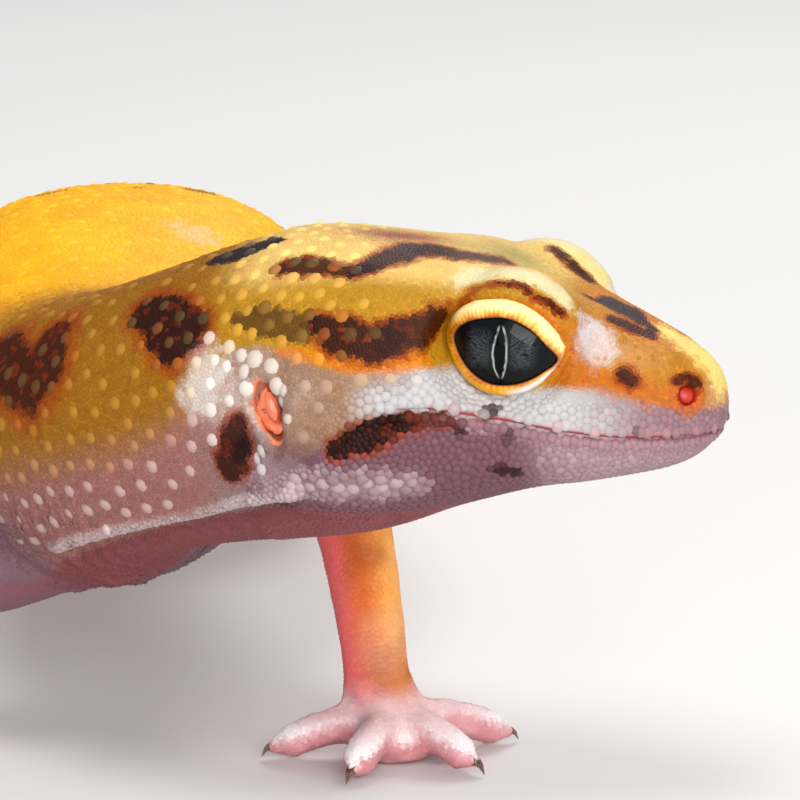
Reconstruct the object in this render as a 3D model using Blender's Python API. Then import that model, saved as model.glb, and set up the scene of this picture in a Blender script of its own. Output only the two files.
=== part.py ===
"""Leopard gecko (Eublepharis macularius), a life-size still model standing on four feet.

The trunk heads along +X and the head is turned to the animal's left, towards +Y. +Z is up.
The origin is on the floor, under the middle of the whole model. Working sizes are in
millimetres, and every mesh is written in metres.

The body is one lofted form from the snout to the tail's tip. It follows a curved axis, and its
sections come from the table PROFILE. Thin cuts part it into head, lower jaw, neck, trunk and
tail. Legs are tubes through their joints, and feet are a palm with five toes and five claws.
"""

import math

import bmesh
import bpy
import numpy as np
from mathutils import Matrix, Vector

MM = 0.001
GAP = 0.3  # free space between neighbouring pieces

# Lengths along the body's axis, measured back from the snout's tip
HEAD_END = 28.0
NECK_END = 42.0
TRUNK_END = 113.0
TAIL_CUTS = (142.0, 171.0)
BODY_END = 200.0

# How the axis bends in plan: where each bend starts and ends, and its turn in degrees
HEAD_HEADING = 77.5
BENDS = ((24, 52, -77.5), (70, 112, 10), (114, 160, 44), (162, 196, -38))

# station, half width, top, bottom, level of the widest point, squareness above and below it
PROFILE = np.array((
    (0.0, 0.0, 27.3, 26.9, 27.1, 2.0, 2.0),
    (0.6, 2.3, 29.2, 24.9, 26.4, 2.0, 2.2),
    (1.6, 3.5, 30.2, 23.9, 25.9, 2.0, 2.4),
    (3.2, 4.8, 31.2, 23.2, 25.7, 2.1, 2.5),
    (5.6, 6.2, 32.4, 22.7, 25.6, 2.2, 2.5),
    (8.0, 7.4, 33.4, 22.3, 25.6, 2.5, 2.5),
    (10.5, 8.3, 34.6, 22.0, 25.6, 2.8, 2.5),
    (13.0, 9.0, 35.5, 21.3, 25.7, 2.7, 2.4),
    (16.0, 9.8, 36.1, 20.3, 25.8, 2.5, 2.3),
    (19.0, 10.3, 36.4, 19.1, 25.8, 2.4, 2.3),
    (22.0, 10.5, 36.7, 18.3, 25.8, 2.35, 2.3),
    (25.0, 10.1, 36.8, 17.8, 25.8, 2.3, 2.2),
    (28.0, 9.2, 36.4, 17.2, 25.8, 2.2, 2.2),
    (33.0, 8.2, 34.6, 16.0, 25.2, 2.1, 2.2),
    (39.0, 8.6, 32.2, 13.4, 23.4, 2.1, 2.2),
    (46.0, 10.4, 30.4, 10.7, 21.4, 2.2, 2.3),
    (54.0, 12.2, 31.0, 10.6, 20.6, 2.3, 2.5),
    (64.0, 14.2, 31.9, 11.9, 20.5, 2.4, 2.6),
    (76.0, 15.0, 32.0, 11.7, 20.3, 2.4, 2.6),
    (88.0, 13.8, 30.4, 12.0, 19.8, 2.3, 2.5),
    (98.0, 11.6, 28.4, 12.4, 19.2, 2.2, 2.3),
    (106.0, 9.4, 26.0, 12.6, 18.4, 2.1, 2.1),
    (112.0, 7.2, 23.6, 12.2, 17.4, 2.0, 2.0),
    (116.0, 5.9, 21.4, 11.0, 16.0, 2.0, 2.0),
    (122.0, 5.9, 18.7, 7.3, 12.9, 2.0, 2.0),
    (132.0, 7.0, 15.2, 1.8, 8.4, 2.0, 2.1),
    (144.0, 7.4, 13.4, -0.3, 6.5, 2.0, 2.3),
    (158.0, 6.5, 11.8, -0.4, 5.7, 2.0, 2.3),
    (172.0, 4.6, 8.6, -0.4, 4.2, 2.0, 2.3),
    (184.0, 3.0, 5.7, -0.3, 2.7, 2.0, 2.3),
    (194.0, 1.5, 3.0, -0.2, 1.4, 2.0, 2.2),
    (200.0, 0.4, 1.2, 0.1, 0.6, 2.0, 2.0),
))

# Swellings and hollows: station, side, height, reach, and the push along, out and up
FORMS = (
    (15.2, 5.6, 35.0, 2.6, 0.0, 0.2, 0.5),  # end of the brow behind the eye
    (11.0, 0.0, 34.8, 2.6, 0.0, 0.0, -0.5),  # dip between the brows
    (6.2, 5.8, 29.8, 2.3, 0.0, -0.5, -0.2),  # hollow in front of the eye
    (2.1, 2.9, 28.6, 1.3, 0.0, 0.3, 0.2),  # swelling round the nostril
    (15.6, 8.6, 30.8, 2.0, 0.0, -0.5, -0.1),  # hollow behind the eye
    (19.5, 8.0, 32.2, 3.4, 0.0, 0.7, 0.3),  # jaw muscle at the temple
    (21.5, 10.0, 25.0, 3.8, 0.0, 0.6, 0.0),  # cheek
    (47.0, 9.0, 25.5, 5.0, 0.0, 0.9, 0.4),  # shoulder
    (102.0, 7.5, 24.0, 6.0, 0.0, 0.8, 0.5),  # hip
)

# Eye, with the lids as a shell over the ball
EYE_STATION = 12.2
EYE_HEIGHT = 31.35
EYE_SIDE = 5.0
EYE_RADIUS = 3.7
EYE_BACK = 2.6  # side distance of the eyeball's flat back
LID_GAP = 0.25
LID_THICK = 0.5
LID_REACH = 122.0  # degrees from the eye's axis to the lid's hidden edge
SLIT_LENGTH, SLIT_HEIGHT = 6.8, 4.1
SLIT_TILT = 11.0  # degrees, down at the front

# Ear opening, a slanting slot with the eardrum at its bottom
EAR_STATION, EAR_SIDE, EAR_HEIGHT = 25.6, 9.9, 27.4
EAR_TALL, EAR_WIDE, EAR_DEEP = 3.8, 1.6, 1.5
EAR_TILT = 19.0
DRUM_THICK = 0.6

# Mouth line and the cheek fold behind it, as (station, height), front to back
MOUTH_LINE = (
    (-3.0, 25.1), (0.8, 25.1), (4.3, 25.4), (8.6, 26.0), (11.9, 26.6),
    (15.9, 27.4), (18.2, 27.1), (21.3, 25.8), (22.6, 22.5), (21.5, 15.0),
)

# Legs. Joints are (forward, out, height) from the axis at the leg's station, in the body's frame.
LEGS = {
    "front_left": dict(
        station=46.0, side=1, joints=((0.0, 5.0, 20.5), (-2.8, 16.6, 17.6), (3.6, 17.2, 4.8)),
        radii=(4.2, 2.85, 2.4), palm=(4.8, 18.2), heading=30.0),
    "front_right": dict(
        station=46.0, side=-1, joints=((0.5, 3.0, 14.2), (-5.2, 14.6, 12.4), (6.0, 20.2, 4.8)),
        radii=(5.2, 2.95, 2.4), palm=(7.8, 21.2), heading=-24.0),
    "hind_left": dict(
        station=103.0, side=1, joints=((0.0, 4.0, 18.6), (-4.4, 16.2, 14.6), (-20.0, 17.6, 5.2)),
        radii=(5.2, 3.7, 2.5), palm=(-20.6, 19.4), heading=36.0),
    "hind_right": dict(
        station=103.0, side=-1, joints=((0.0, 4.0, 18.6), (11.0, 15.6, 15.4), (4.0, 20.6, 4.8)),
        radii=(5.2, 3.7, 2.5), palm=(7.0, 22.0), heading=-26.0),
}
# Toes from the inner to the outer one: degrees from the foot's heading, length to the claw
TOES = {
    "front": ((-126, 7.4), (-64, 6.1), (13, 6.0), (75, 7.6), (118, 5.8)),
    "hind": ((-70, 6.4), (-34, 8.2), (-4, 9.4), (24, 9.6), (84, 7.2)),
}
PALM = {"front": (3.1, 2.9, 1.7), "hind": (3.9, 3.0, 1.7)}  # half length, width and height
TOE_RADII = (1.4, 1.35, 1.25, 1.2, 0.8)
TOE_ARCH = ((0.1, 2.3), (0.42, 2.4), (0.74, 1.75), (0.92, 1.15), (1.0, 0.95))
CLAW_LENGTH, CLAW_RADIUS = 1.1, 0.42

# Facets: how finely each form is divided
AROUND_HEAD, AROUND_BODY, AROUND_TAIL = 32, 24, 12
AROUND_LEG, AROUND_TOE, AROUND_CLAW = 10, 6, 4

SKIN_COLOURS = {
    "head_skin": (0.78, 0.42, 0.10), "jaw_skin": (0.80, 0.62, 0.62),
    "body_skin": (0.80, 0.50, 0.16), "leg_skin": (0.82, 0.46, 0.25),
    "foot_skin": (0.85, 0.66, 0.60), "tail_skin": (0.72, 0.62, 0.52),
}


def smooth_step(value, low, high):
    share = np.clip((value - low) / (high - low), 0.0, 1.0)
    return share * share * (3.0 - 2.0 * share)


def through(places, knots, values):
    """A smooth curve through (knots, values), read at places, by cubic Hermite pieces."""
    places = np.asarray(places, float)
    slopes = np.gradient(values, knots)
    piece = np.clip(np.searchsorted(knots, places) - 1, 0, len(knots) - 2)
    span = knots[piece + 1] - knots[piece]
    share = (places - knots[piece]) / span
    rest = 1.0 - share
    return (
        values[piece] * (1 + 2 * share) * rest**2 + slopes[piece] * span * share * rest**2
        + values[piece + 1] * share**2 * (3 - 2 * share)
        - slopes[piece + 1] * span * share**2 * rest
    )


# The axis in plan, sampled finely from the snout to the tail's tip
AXIS_STEP = 0.25
AXIS_S = np.arange(0.0, BODY_END + AXIS_STEP, AXIS_STEP)
AXIS_HEADING = np.radians(
    HEAD_HEADING + sum(turn * smooth_step(AXIS_S, start, end) for start, end, turn in BENDS)
)


def walk_back(slope):
    """Running sum of one component of the axis direction, going back from the snout."""
    return -np.concatenate(([0.0], np.cumsum((slope[1:] + slope[:-1]) / 2 * AXIS_STEP)))


AXIS_X = walk_back(np.cos(AXIS_HEADING))
AXIS_Y = walk_back(np.sin(AXIS_HEADING))


def place(station, side, height):
    """Points of the row frame, in millimetres, from body places. Side is positive to the left."""
    station, side, height = np.broadcast_arrays(*map(np.asarray, (station, side, height)))
    heading = np.interp(station, AXIS_S, AXIS_HEADING)
    x = np.interp(station, AXIS_S, AXIS_X) - side * np.sin(heading)
    y = np.interp(station, AXIS_S, AXIS_Y) + side * np.cos(heading)
    return np.stack([x, y, height.astype(float)], axis=-1)


def shaped(station, side, height):
    """The body places after the swellings and hollows of FORMS, on both sides."""
    station, side, height = (np.array(a, float) for a in (station, side, height))
    moved = [station.copy(), side.copy(), height.copy()]
    for at, out, up, reach, push_along, push_out, push_up in FORMS:
        for hand in (1, -1) if out else (1,):
            square = (station - at) ** 2 + (side - hand * out) ** 2 + (height - up) ** 2
            weight = np.exp(-square / reach**2)
            moved[0] += weight * push_along
            moved[1] += weight * push_out * hand
            moved[2] += weight * push_up
    return moved


def body_ring(station, around, grow=0.0):
    """One closed section of the body at a station, widened by grow on every side."""
    rooted = math.sqrt(station)
    width, top, bottom, level, above, below = (
        float(through(rooted, np.sqrt(PROFILE[:, 0]), PROFILE[:, column])) for column in range(1, 7)
    )
    turn = (np.arange(around) + 0.5) * 2 * math.pi / around
    c, s = np.cos(turn), np.sin(turn)
    power = np.where(s > 0, 2.0 / above, 2.0 / below)
    rise = np.where(s > 0, top - level, level - bottom) + grow
    side = (width + grow) * np.sign(c) * np.abs(c) ** power
    height = level + rise * np.sign(s) * np.abs(s) ** power
    along, side, height = shaped(np.full(around, station), side, height)
    return place(along, side, np.maximum(height, 0.0))


def loft(name, rings, start_pole=None, end_pole=None):
    """A closed mesh over rings of points, ended by flat caps or by single points."""
    mesh = bmesh.new()
    loops = [[mesh.verts.new(Vector(p) * MM) for p in ring] for ring in rings]
    count = len(loops[0])
    for first, second in zip(loops, loops[1:]):
        for i in range(count):
            j = (i + 1) % count
            mesh.faces.new((first[i], first[j], second[j], second[i]))
    for loop, pole in ((loops[0], start_pole), (loops[-1], end_pole)):
        if pole is None:
            mesh.faces.new(loop)
            continue
        tip = mesh.verts.new(Vector(pole) * MM)
        for i in range(count):
            mesh.faces.new((loop[i], loop[(i + 1) % count], tip))
    return finished(name, mesh)


def finished(name, mesh):
    """An object from a bmesh, with its faces turned outwards and shaded smooth."""
    bmesh.ops.recalc_face_normals(mesh, faces=mesh.faces)
    data = bpy.data.meshes.new(name)
    mesh.to_mesh(data)
    mesh.free()
    data.shade_smooth()
    made = bpy.data.objects.new(name, data)
    bpy.context.scene.collection.objects.link(made)
    return made


def combine(target, tool, operation, keep_tool=False):
    """Joins tool to target, or cuts it with it, and leaves the result as target's own mesh."""
    modifier = target.modifiers.new("Combine", "BOOLEAN")
    modifier.solver = "EXACT"
    modifier.operation = operation
    modifier.object = tool
    bpy.context.view_layer.update()
    graph = bpy.context.evaluated_depsgraph_get()
    result = bpy.data.meshes.new_from_object(target.evaluated_get(graph))
    target.modifiers.clear()
    target.data = result
    if not keep_tool:
        bpy.data.objects.remove(tool)
    return target


def copy_of(source, name):
    made = bpy.data.objects.new(name, source.data.copy())
    bpy.context.scene.collection.objects.link(made)
    return made


def body_length(name, start, end, rings, around, grow=0.0):
    """A length of the body between two stations, closed by flat caps."""
    stations = np.linspace(start, end, rings)
    return loft(name, [body_ring(s, around, grow) for s in stations])


def head_stations():
    """Stations of the head's rings: close together at the snout and about the eyes."""
    snout = 0.16 * np.arange(1, 8) ** 1.62
    face = np.arange(4.8, 16.0, 0.95)
    back = np.linspace(16.6, HEAD_END - GAP / 2, 10)
    return np.concatenate((snout, face, back))


def mouth_knife(name, lift):
    """The room of the lower jaw: all that lies under the mouth line, raised by lift."""
    outline = [(station + lift, height + lift) for station, height in MOUTH_LINE]
    outline.append((outline[0][0], outline[-1][1]))
    half = 16.0
    rings = [
        np.array([place(station, hand * half, height) for station, height in outline])
        for hand in (-1, 1)
    ]
    return loft(name, rings)


def dome(name, centre, axis, radius, depth, around=16, rings=5, inner=None, reach=180.0):
    """A ball cut flat at depth from its centre along axis, or a bowl if inner is its hollow."""
    if inner is None:
        last = math.acos(max(-1.0, min(1.0, depth / radius)))
        turns = np.linspace(0.0, last, rings + 1)[1:]
        outline = [(radius * math.sin(t), radius * math.cos(t)) for t in turns]
        back_pole = (0.0, depth)
        front_pole = (0.0, radius)
    else:
        last = math.radians(reach)
        turns = np.linspace(0.0, last, rings + 1)[1:]
        outline = [(radius * math.sin(t), radius * math.cos(t)) for t in turns]
        outline += [(inner * math.sin(t), inner * math.cos(t)) for t in turns[::-1]]
        front_pole, back_pole = (0.0, radius), (0.0, inner)
    facing = Vector(axis).to_track_quat("Z", "Y").to_matrix()
    middle = Vector(centre)

    def at(out, along, turn=0.0):
        return middle + facing @ Vector((out * math.cos(turn), out * math.sin(turn), along))

    angles = [2 * math.pi * (i + 0.5) / around for i in range(around)]
    loops = [[at(out, along, angle) for angle in angles] for out, along in outline]
    return loft(name, loops, at(*front_pole), at(*back_pole))


def slit_cutter(name, centre, axis, forward):
    """A lens-shaped bar along the eye's axis that opens the lids."""
    half, tall = SLIT_LENGTH / 2, SLIT_HEIGHT / 2
    tilt = math.radians(SLIT_TILT)
    steps = 9
    outline = []
    for i in range(2 * steps):
        turn = math.pi * i / steps
        lens = tall * math.sin(turn) * abs(math.sin(turn)) ** 0.25
        outline.append((half * math.cos(turn), lens))
    up = Vector((0, 0, 1))
    rings = []
    for reach in (0.5, 7.0):
        ring = []
        for along, rise in outline:
            front = along * math.cos(tilt) + rise * math.sin(tilt)
            high = rise * math.cos(tilt) - along * math.sin(tilt)
            ring.append(Vector(centre) + Vector(axis) * reach + forward * front + up * high)
        rings.append(ring)
    return loft(name, rings)


def oval(name, centre, axis, forward, tall, wide, deep, tilt, around=12, rings=5):
    """An egg-shaped solid: tall and wide across the axis, deep along it."""
    turned = math.radians(tilt)
    up = Vector((0, 0, 1)) * math.cos(turned) - forward * math.sin(turned)
    across = forward * math.cos(turned) + Vector((0, 0, 1)) * math.sin(turned)
    middle, out = Vector(centre), Vector(axis)
    loops = []
    for i in range(1, rings + 1):
        polar = math.pi * i / (rings + 1)
        loops.append([
            middle + out * (deep * math.cos(polar))
            + up * (tall / 2 * math.sin(polar) * math.sin(turn))
            + across * (wide / 2 * math.sin(polar) * math.cos(turn))
            for turn in (2 * math.pi * (k + 0.5) / around for k in range(around))
        ])
    return loft(name, loops, middle + out * deep, middle - out * deep)


def head_frame():
    """Forward and left directions of the head, which is straight up to its back."""
    heading = math.radians(HEAD_HEADING)
    forward = Vector((math.cos(heading), math.sin(heading), 0.0))
    return forward, Vector((-forward.y, forward.x, 0.0))


def make_head():
    """Head and lower jaw with eyes, lids and ears in their openings."""
    forward, left = head_frame()
    rings = [body_ring(s, AROUND_HEAD) for s in head_stations()]
    head = loft("head", rings, start_pole=place(0.0, 0.0, 27.1))
    made = [head]
    for hand, side in ((1, "left"), (-1, "right")):
        out = left * hand
        eye = place(EYE_STATION, EYE_SIDE * hand, EYE_HEIGHT)
        back = EYE_BACK - EYE_SIDE
        ball = dome(f"eye_{side}", eye, out, EYE_RADIUS, back)
        inside = EYE_RADIUS + LID_GAP
        lid = dome(f"eyelid_{side}", eye, out, inside + LID_THICK, 0.0,
                   around=16, rings=6, inner=inside, reach=LID_REACH)
        combine(lid, slit_cutter("slit", eye, out, forward), "DIFFERENCE")
        socket = dome("socket", eye, out, inside + LID_THICK + LID_GAP, back - GAP, around=22)
        combine(head, socket, "DIFFERENCE")
        ear = place(EAR_STATION, EAR_SIDE * hand, EAR_HEIGHT)
        slot = oval("slot", ear, out, forward, EAR_TALL, EAR_WIDE, EAR_DEEP, EAR_TILT)
        combine(head, slot, "DIFFERENCE")
        floor = Vector(ear) - out * (EAR_DEEP - GAP - DRUM_THICK)
        drum = oval(f"eardrum_{side}", floor, out, forward, EAR_TALL * 0.55, EAR_WIDE * 0.5,
                    DRUM_THICK, EAR_TILT, around=8, rings=3)
        made += [ball, lid, drum]
    jaw = copy_of(head, "lower_jaw")
    combine(jaw, mouth_knife("knife", 0.0), "INTERSECT")
    combine(head, mouth_knife("knife", GAP), "DIFFERENCE")
    return made + [jaw]


def make_tail():
    """The tail in three lengths. Its whorls swell and narrow, about four millimetres each."""
    whorl, swell = 4.0, 0.22
    ends = (TRUNK_END, *TAIL_CUTS, BODY_END)
    made = []
    for name, start, end in zip(("tail_base", "tail_middle", "tail_tip"), ends, ends[1:]):
        last = end == BODY_END
        stop = end - (0.6 if last else GAP / 2)
        count = 2 * round((stop - start) / whorl) + 1
        stations = np.linspace(start + GAP / 2, stop, count)
        rings = [
            body_ring(s, AROUND_TAIL, swell if i % 2 else -swell)
            for i, s in enumerate(stations)
        ]
        tip = place(BODY_END, 0.0, 0.5) if last else None
        made.append(loft(name, rings, end_pole=tip))
    return made


def tube_rings(points, radii, around, flat=1.0):
    """Rings across a smooth path, each level with the floor's horizontal where it can be."""
    points = [Vector(p) for p in points]
    rings = []
    for i, (middle, radius) in enumerate(zip(points, radii)):
        ahead = points[min(i + 1, len(points) - 1)] - points[max(i - 1, 0)]
        ahead.normalize()
        side = ahead.cross(Vector((0, 0, 1)))
        if side.length < 1e-3:
            side = Vector((1, 0, 0))
        side.normalize()
        up = side.cross(ahead)
        turns = (2 * math.pi * (k + 0.5) / around for k in range(around))
        ring = [
            middle + side * (radius * math.cos(t)) + up * (radius * flat * math.sin(t))
            for t in turns
        ]
        rings.append([Vector((p.x, p.y, max(p.z, 0.0))) for p in ring])
    return rings


def bent_path(joints, count):
    """Points on a rounded path through three joints, as a curve that hugs the middle one."""
    first, middle, last = (Vector(j) for j in joints)
    share = np.linspace(0.0, 1.0, count)
    path = []
    for t in share:
        curve = first * (1 - t) ** 2 + middle * 2 * t * (1 - t) + last * t**2
        line = first.lerp(middle, 2 * t) if t < 0.5 else middle.lerp(last, 2 * t - 1)
        path.append(curve.lerp(line, 0.72))
    return path


def leg_point(leg, forward, out, height):
    """A place of the row frame from leg measures in the body's frame."""
    base = place(leg["station"], 0.0, 0.0)
    heading = float(np.interp(leg["station"], AXIS_S, AXIS_HEADING))
    ahead = Vector((math.cos(heading), math.sin(heading), 0.0))
    left = Vector((-ahead.y, ahead.x, 0.0))
    spot = Vector(base) + ahead * forward + left * (out * leg["side"])
    return Vector((spot.x, spot.y, height))


def palm_form(centre, ahead, left, size):
    """A low egg-shaped palm, flat where it meets the floor."""
    long, wide, tall = size
    around, rings = 10, 4
    up = Vector((0, 0, 1))
    loops = []
    for i in range(1, rings + 1):
        polar = math.pi * i / (rings + 1)
        turns = (2 * math.pi * (k + 0.5) / around for k in range(around))
        ring = [
            centre + ahead * (long * math.cos(polar)) + left * (wide * math.sin(polar)
            * math.cos(t)) + up * (tall * math.sin(polar) * math.sin(t)) for t in turns
        ]
        loops.append([Vector((p.x, p.y, max(p.z, 0.0))) for p in ring])
    return loft("palm", loops, centre + ahead * long, centre - ahead * long)


def foot_pieces(name, leg, shin_room):
    """Palm, toes and ankle joined as one foot, and the five claws beside it."""
    kind = name.split("_")[0]
    centre = leg_point(leg, *leg["palm"], 1.3)
    heading = math.radians(leg["heading"] + leg["turn"])
    ahead = Vector((math.cos(heading), math.sin(heading), 0.0))
    left = Vector((-ahead.y, ahead.x, 0.0))
    ankle = [leg["ankle_start"], leg["wrist"], leg["wrist"].lerp(centre, 0.5), centre]
    foot = loft(f"foot_{name}", tube_rings(ankle, (1.9, 2.4, 2.6, 1.8), AROUND_LEG))
    combine(foot, palm_form(centre, ahead, left, PALM[kind]), "UNION")
    claws = []
    for number, (angle, length) in enumerate(TOES[kind], start=1):
        turn = heading + math.radians(angle) * leg["side"]
        out = Vector((math.cos(turn), math.sin(turn), 0.0))
        path = [
            Vector((centre.x, centre.y, 0)) + out * (length * share) + Vector((0, 0, height))
            for share, height in TOE_ARCH
        ]
        combine(foot, loft("toe", tube_rings(path, TOE_RADII, AROUND_TOE)), "UNION")
        claws.append(claw(f"claw_{name}_{number}", path[-1], out))
    combine(foot, shin_room, "DIFFERENCE")
    return foot, claws


def claw(name, base, out):
    """A hooked claw that leaves the toe's end and comes down to the floor."""
    down = Vector((0, 0, -1))
    path, radii = [], []
    for share in (0.0, 0.4, 0.75):
        bend = share * math.radians(50)
        path.append(base + out * (GAP + CLAW_LENGTH * math.sin(bend) * 0.95)
                    + down * (0.62 * (1 - math.cos(bend * 1.5))))
        radii.append(CLAW_RADIUS * (1 - share * 0.75))
    tip = base + out * (GAP + CLAW_LENGTH * 0.86)
    tip.z = 0.12
    return loft(name, tube_rings(path, radii, AROUND_CLAW), end_pole=tip)


def make_leg(name, leg, body_room):
    """Upper leg, lower leg, foot and claws of one leg."""
    joints = [leg_point(leg, *joint) for joint in leg["joints"]]
    count = 11
    path = bent_path(joints, count)
    share = np.linspace(0.0, 1.0, count)
    shoulder, elbow, wrist = leg["radii"]
    marks = (0.0, 0.2, 0.48, 0.62, 1.0)
    radii = np.interp(share, marks, (0.8 * shoulder, shoulder, elbow, elbow, wrist))
    rings = tube_rings(path, radii, AROUND_LEG, flat=0.94)
    middle = count // 2

    def shifted(index, other, distance):
        step = (path[other] - path[index]).normalized() * distance
        return [point + step for point in rings[index]]

    upper_kind, lower_kind = ("upper_arm", "forearm") if "front" in name else ("thigh", "shin")
    side = name.split("_")[1]
    upper_rings = rings[:middle] + [shifted(middle, middle - 1, GAP / 2)]
    upper = loft(f"{upper_kind}_{side}", upper_rings)
    combine(upper, body_room, "DIFFERENCE", keep_tool=True)
    lower_rings = [shifted(middle, middle + 1, GAP / 2)] + rings[middle + 1:-1]
    lower_rings.append(shifted(count - 1, count - 2, GAP))
    lower = loft(f"{lower_kind}_{side}", lower_rings)
    wide = tube_rings(path[middle + 1:], radii[middle + 1:] + GAP, AROUND_LEG, flat=0.94)
    shin_room = loft("shin_room", wide)
    leg["wrist"] = path[-1]
    leg["ankle_start"] = path[-1].lerp(path[-2], 0.5)
    leg["turn"] = math.degrees(float(np.interp(leg["station"], AXIS_S, AXIS_HEADING)))
    foot, claws = foot_pieces(name, leg, shin_room)
    return [upper, lower, foot], claws


def material(name, colour, roughness):
    """A Principled material of one plain colour."""
    made = bpy.data.materials.new(name)
    made.use_nodes = True
    shader = made.node_tree.nodes["Principled BSDF"]
    shader.inputs["Base Color"].default_value = (*colour, 1.0)
    shader.inputs["Roughness"].default_value = roughness
    shader.inputs["Metallic"].default_value = 0.0
    return made


def paint(pieces):
    """Gives each piece the material of its kind."""
    looks = {name: material(name, colour, 0.55) for name, colour in SKIN_COLOURS.items()}
    looks["eye"] = material("eye", (0.03, 0.03, 0.035), 0.08)
    looks["eyelid"] = material("eyelid", (0.86, 0.62, 0.16), 0.5)
    looks["eardrum"] = material("eardrum", (0.80, 0.30, 0.20), 0.45)
    looks["claw"] = material("claw", (0.30, 0.22, 0.20), 0.35)
    kinds = (
        ("eyelid", "eyelid"), ("eye_", "eye"), ("eardrum", "eardrum"), ("claw", "claw"),
        ("lower_jaw", "jaw_skin"), ("head", "head_skin"), ("neck", "body_skin"),
        ("trunk", "body_skin"), ("tail", "tail_skin"), ("foot", "foot_skin"),
    )
    for piece in pieces:
        look = next((key for start, key in kinds if piece.name.startswith(start)), "leg_skin")
        piece.data.materials.clear()
        piece.data.materials.append(looks[look])


def stand_on_origin(pieces):
    """Moves all pieces so that the origin is on the floor under the model's middle."""
    corners = np.array([v.co for piece in pieces for v in piece.data.vertices])
    low, high = corners.min(axis=0), corners.max(axis=0)
    shift = Matrix.Translation((-(low[0] + high[0]) / 2, -(low[1] + high[1]) / 2, -low[2]))
    for piece in pieces:
        piece.data.transform(shift)


def main():
    for old in list(bpy.data.objects):
        bpy.data.objects.remove(old)
    pieces = make_head()
    half = GAP / 2
    pieces.append(body_length("neck", HEAD_END + half, NECK_END - half, 7, AROUND_BODY))
    pieces.append(body_length("trunk", NECK_END + half, TRUNK_END - half, 18, AROUND_BODY))
    pieces += make_tail()
    body_room = body_length("body_room", HEAD_END + 2, TRUNK_END + 12, 26, AROUND_BODY, grow=GAP)
    for name, leg in LEGS.items():
        limbs, claws = make_leg(name, leg, body_room)
        pieces += limbs + claws
    bpy.data.objects.remove(body_room)
    paint(pieces)
    stand_on_origin(pieces)


main()
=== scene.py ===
# %% [markdown]
# # A leopard gecko, from a solid body to skin, scales and eyes
#
# A museum model of a small lizard is a firm body under a thin skin, with thousands of tiny
# scales that catch the light one by one. This lesson builds the same three layers in Blender.
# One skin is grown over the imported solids, scales are set on it as real geometry, and the eyes,
# lids and claws are pieces of their own.

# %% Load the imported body
import math

import bmesh
import bpy
import numpy as np
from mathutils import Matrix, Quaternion, Vector
from mathutils.bvhtree import BVHTree
from mathutils.kdtree import KDTree


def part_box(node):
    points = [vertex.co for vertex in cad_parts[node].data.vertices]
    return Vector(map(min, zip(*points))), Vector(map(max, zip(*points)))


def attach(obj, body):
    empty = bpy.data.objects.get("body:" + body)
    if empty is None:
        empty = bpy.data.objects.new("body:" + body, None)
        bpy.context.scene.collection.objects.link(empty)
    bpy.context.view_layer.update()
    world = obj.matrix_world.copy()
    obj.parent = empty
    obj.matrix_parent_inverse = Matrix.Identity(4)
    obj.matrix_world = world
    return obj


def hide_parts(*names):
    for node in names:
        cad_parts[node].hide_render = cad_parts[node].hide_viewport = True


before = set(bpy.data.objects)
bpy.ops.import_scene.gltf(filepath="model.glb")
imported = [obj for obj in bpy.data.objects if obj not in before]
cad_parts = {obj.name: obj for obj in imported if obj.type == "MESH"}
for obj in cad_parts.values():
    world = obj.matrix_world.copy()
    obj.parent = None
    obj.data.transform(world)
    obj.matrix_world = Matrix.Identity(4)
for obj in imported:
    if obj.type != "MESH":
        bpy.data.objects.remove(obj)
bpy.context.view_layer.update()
MM = 0.001
chance = np.random.default_rng(29)

# %% [markdown]
# ## Places on the body
#
# A spot on a lizard is best named as an anatomist would: how far behind the snout, how far to
# the left, and how high. The body bends in plan, so these places follow its curved axis. The
# bends are the same as in the solids. Everything later, from folds to colours, is written in
# these three numbers, in millimetres.

# %% The body's axis
HEAD_HEADING = 77.5
# each bend is the station where it starts, the one where it ends, and its turn in degrees
BENDS = ((24, 52, -77.5), (70, 112, 10), (114, 160, 44), (162, 196, -38))
BODY_LENGTH, AXIS_STEP = 200.0, 0.25
EYE_STATION, EYE_SIDE, EYE_HEIGHT = 12.2, 5.0, 31.35


def fade(value, low, high):
    """0 below low, 1 above high, and a smooth rise between them."""
    share = np.clip((np.asarray(value, float) - low) / (high - low), 0.0, 1.0)
    return share * share * (3.0 - 2.0 * share)


axis_s = np.arange(0.0, BODY_LENGTH + 0.01, AXIS_STEP)
axis_turn = np.radians(HEAD_HEADING + sum(t * fade(axis_s, a, b) for a, b, t in BENDS))
forward = np.array([math.cos(axis_turn[0]), math.sin(axis_turn[0]), 0.0])
leftward = np.array([-forward[1], forward[0], 0.0])


def middle_of(name):
    """The middle of a solid's box, in millimetres."""
    low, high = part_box(name)
    return (np.array(low) + np.array(high)) / 2 / MM


snout = (middle_of("eye_left") + middle_of("eye_right")) / 2 + forward * EYE_STATION
snout[2] = 0.0


def walked(slope, start):
    """One coordinate of the axis, summed up step by step from the snout."""
    return start - np.concatenate(([0.0], np.cumsum((slope[1:] + slope[:-1]) / 2 * AXIS_STEP)))


axis_x = walked(np.cos(axis_turn), snout[0])
axis_y = walked(np.sin(axis_turn), snout[1])
print("snout at", snout.round(2), "tail tip at", axis_x[-1].round(1), axis_y[-1].round(1))


# %% From world points to body places, and back
BATCH = 20000


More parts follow.
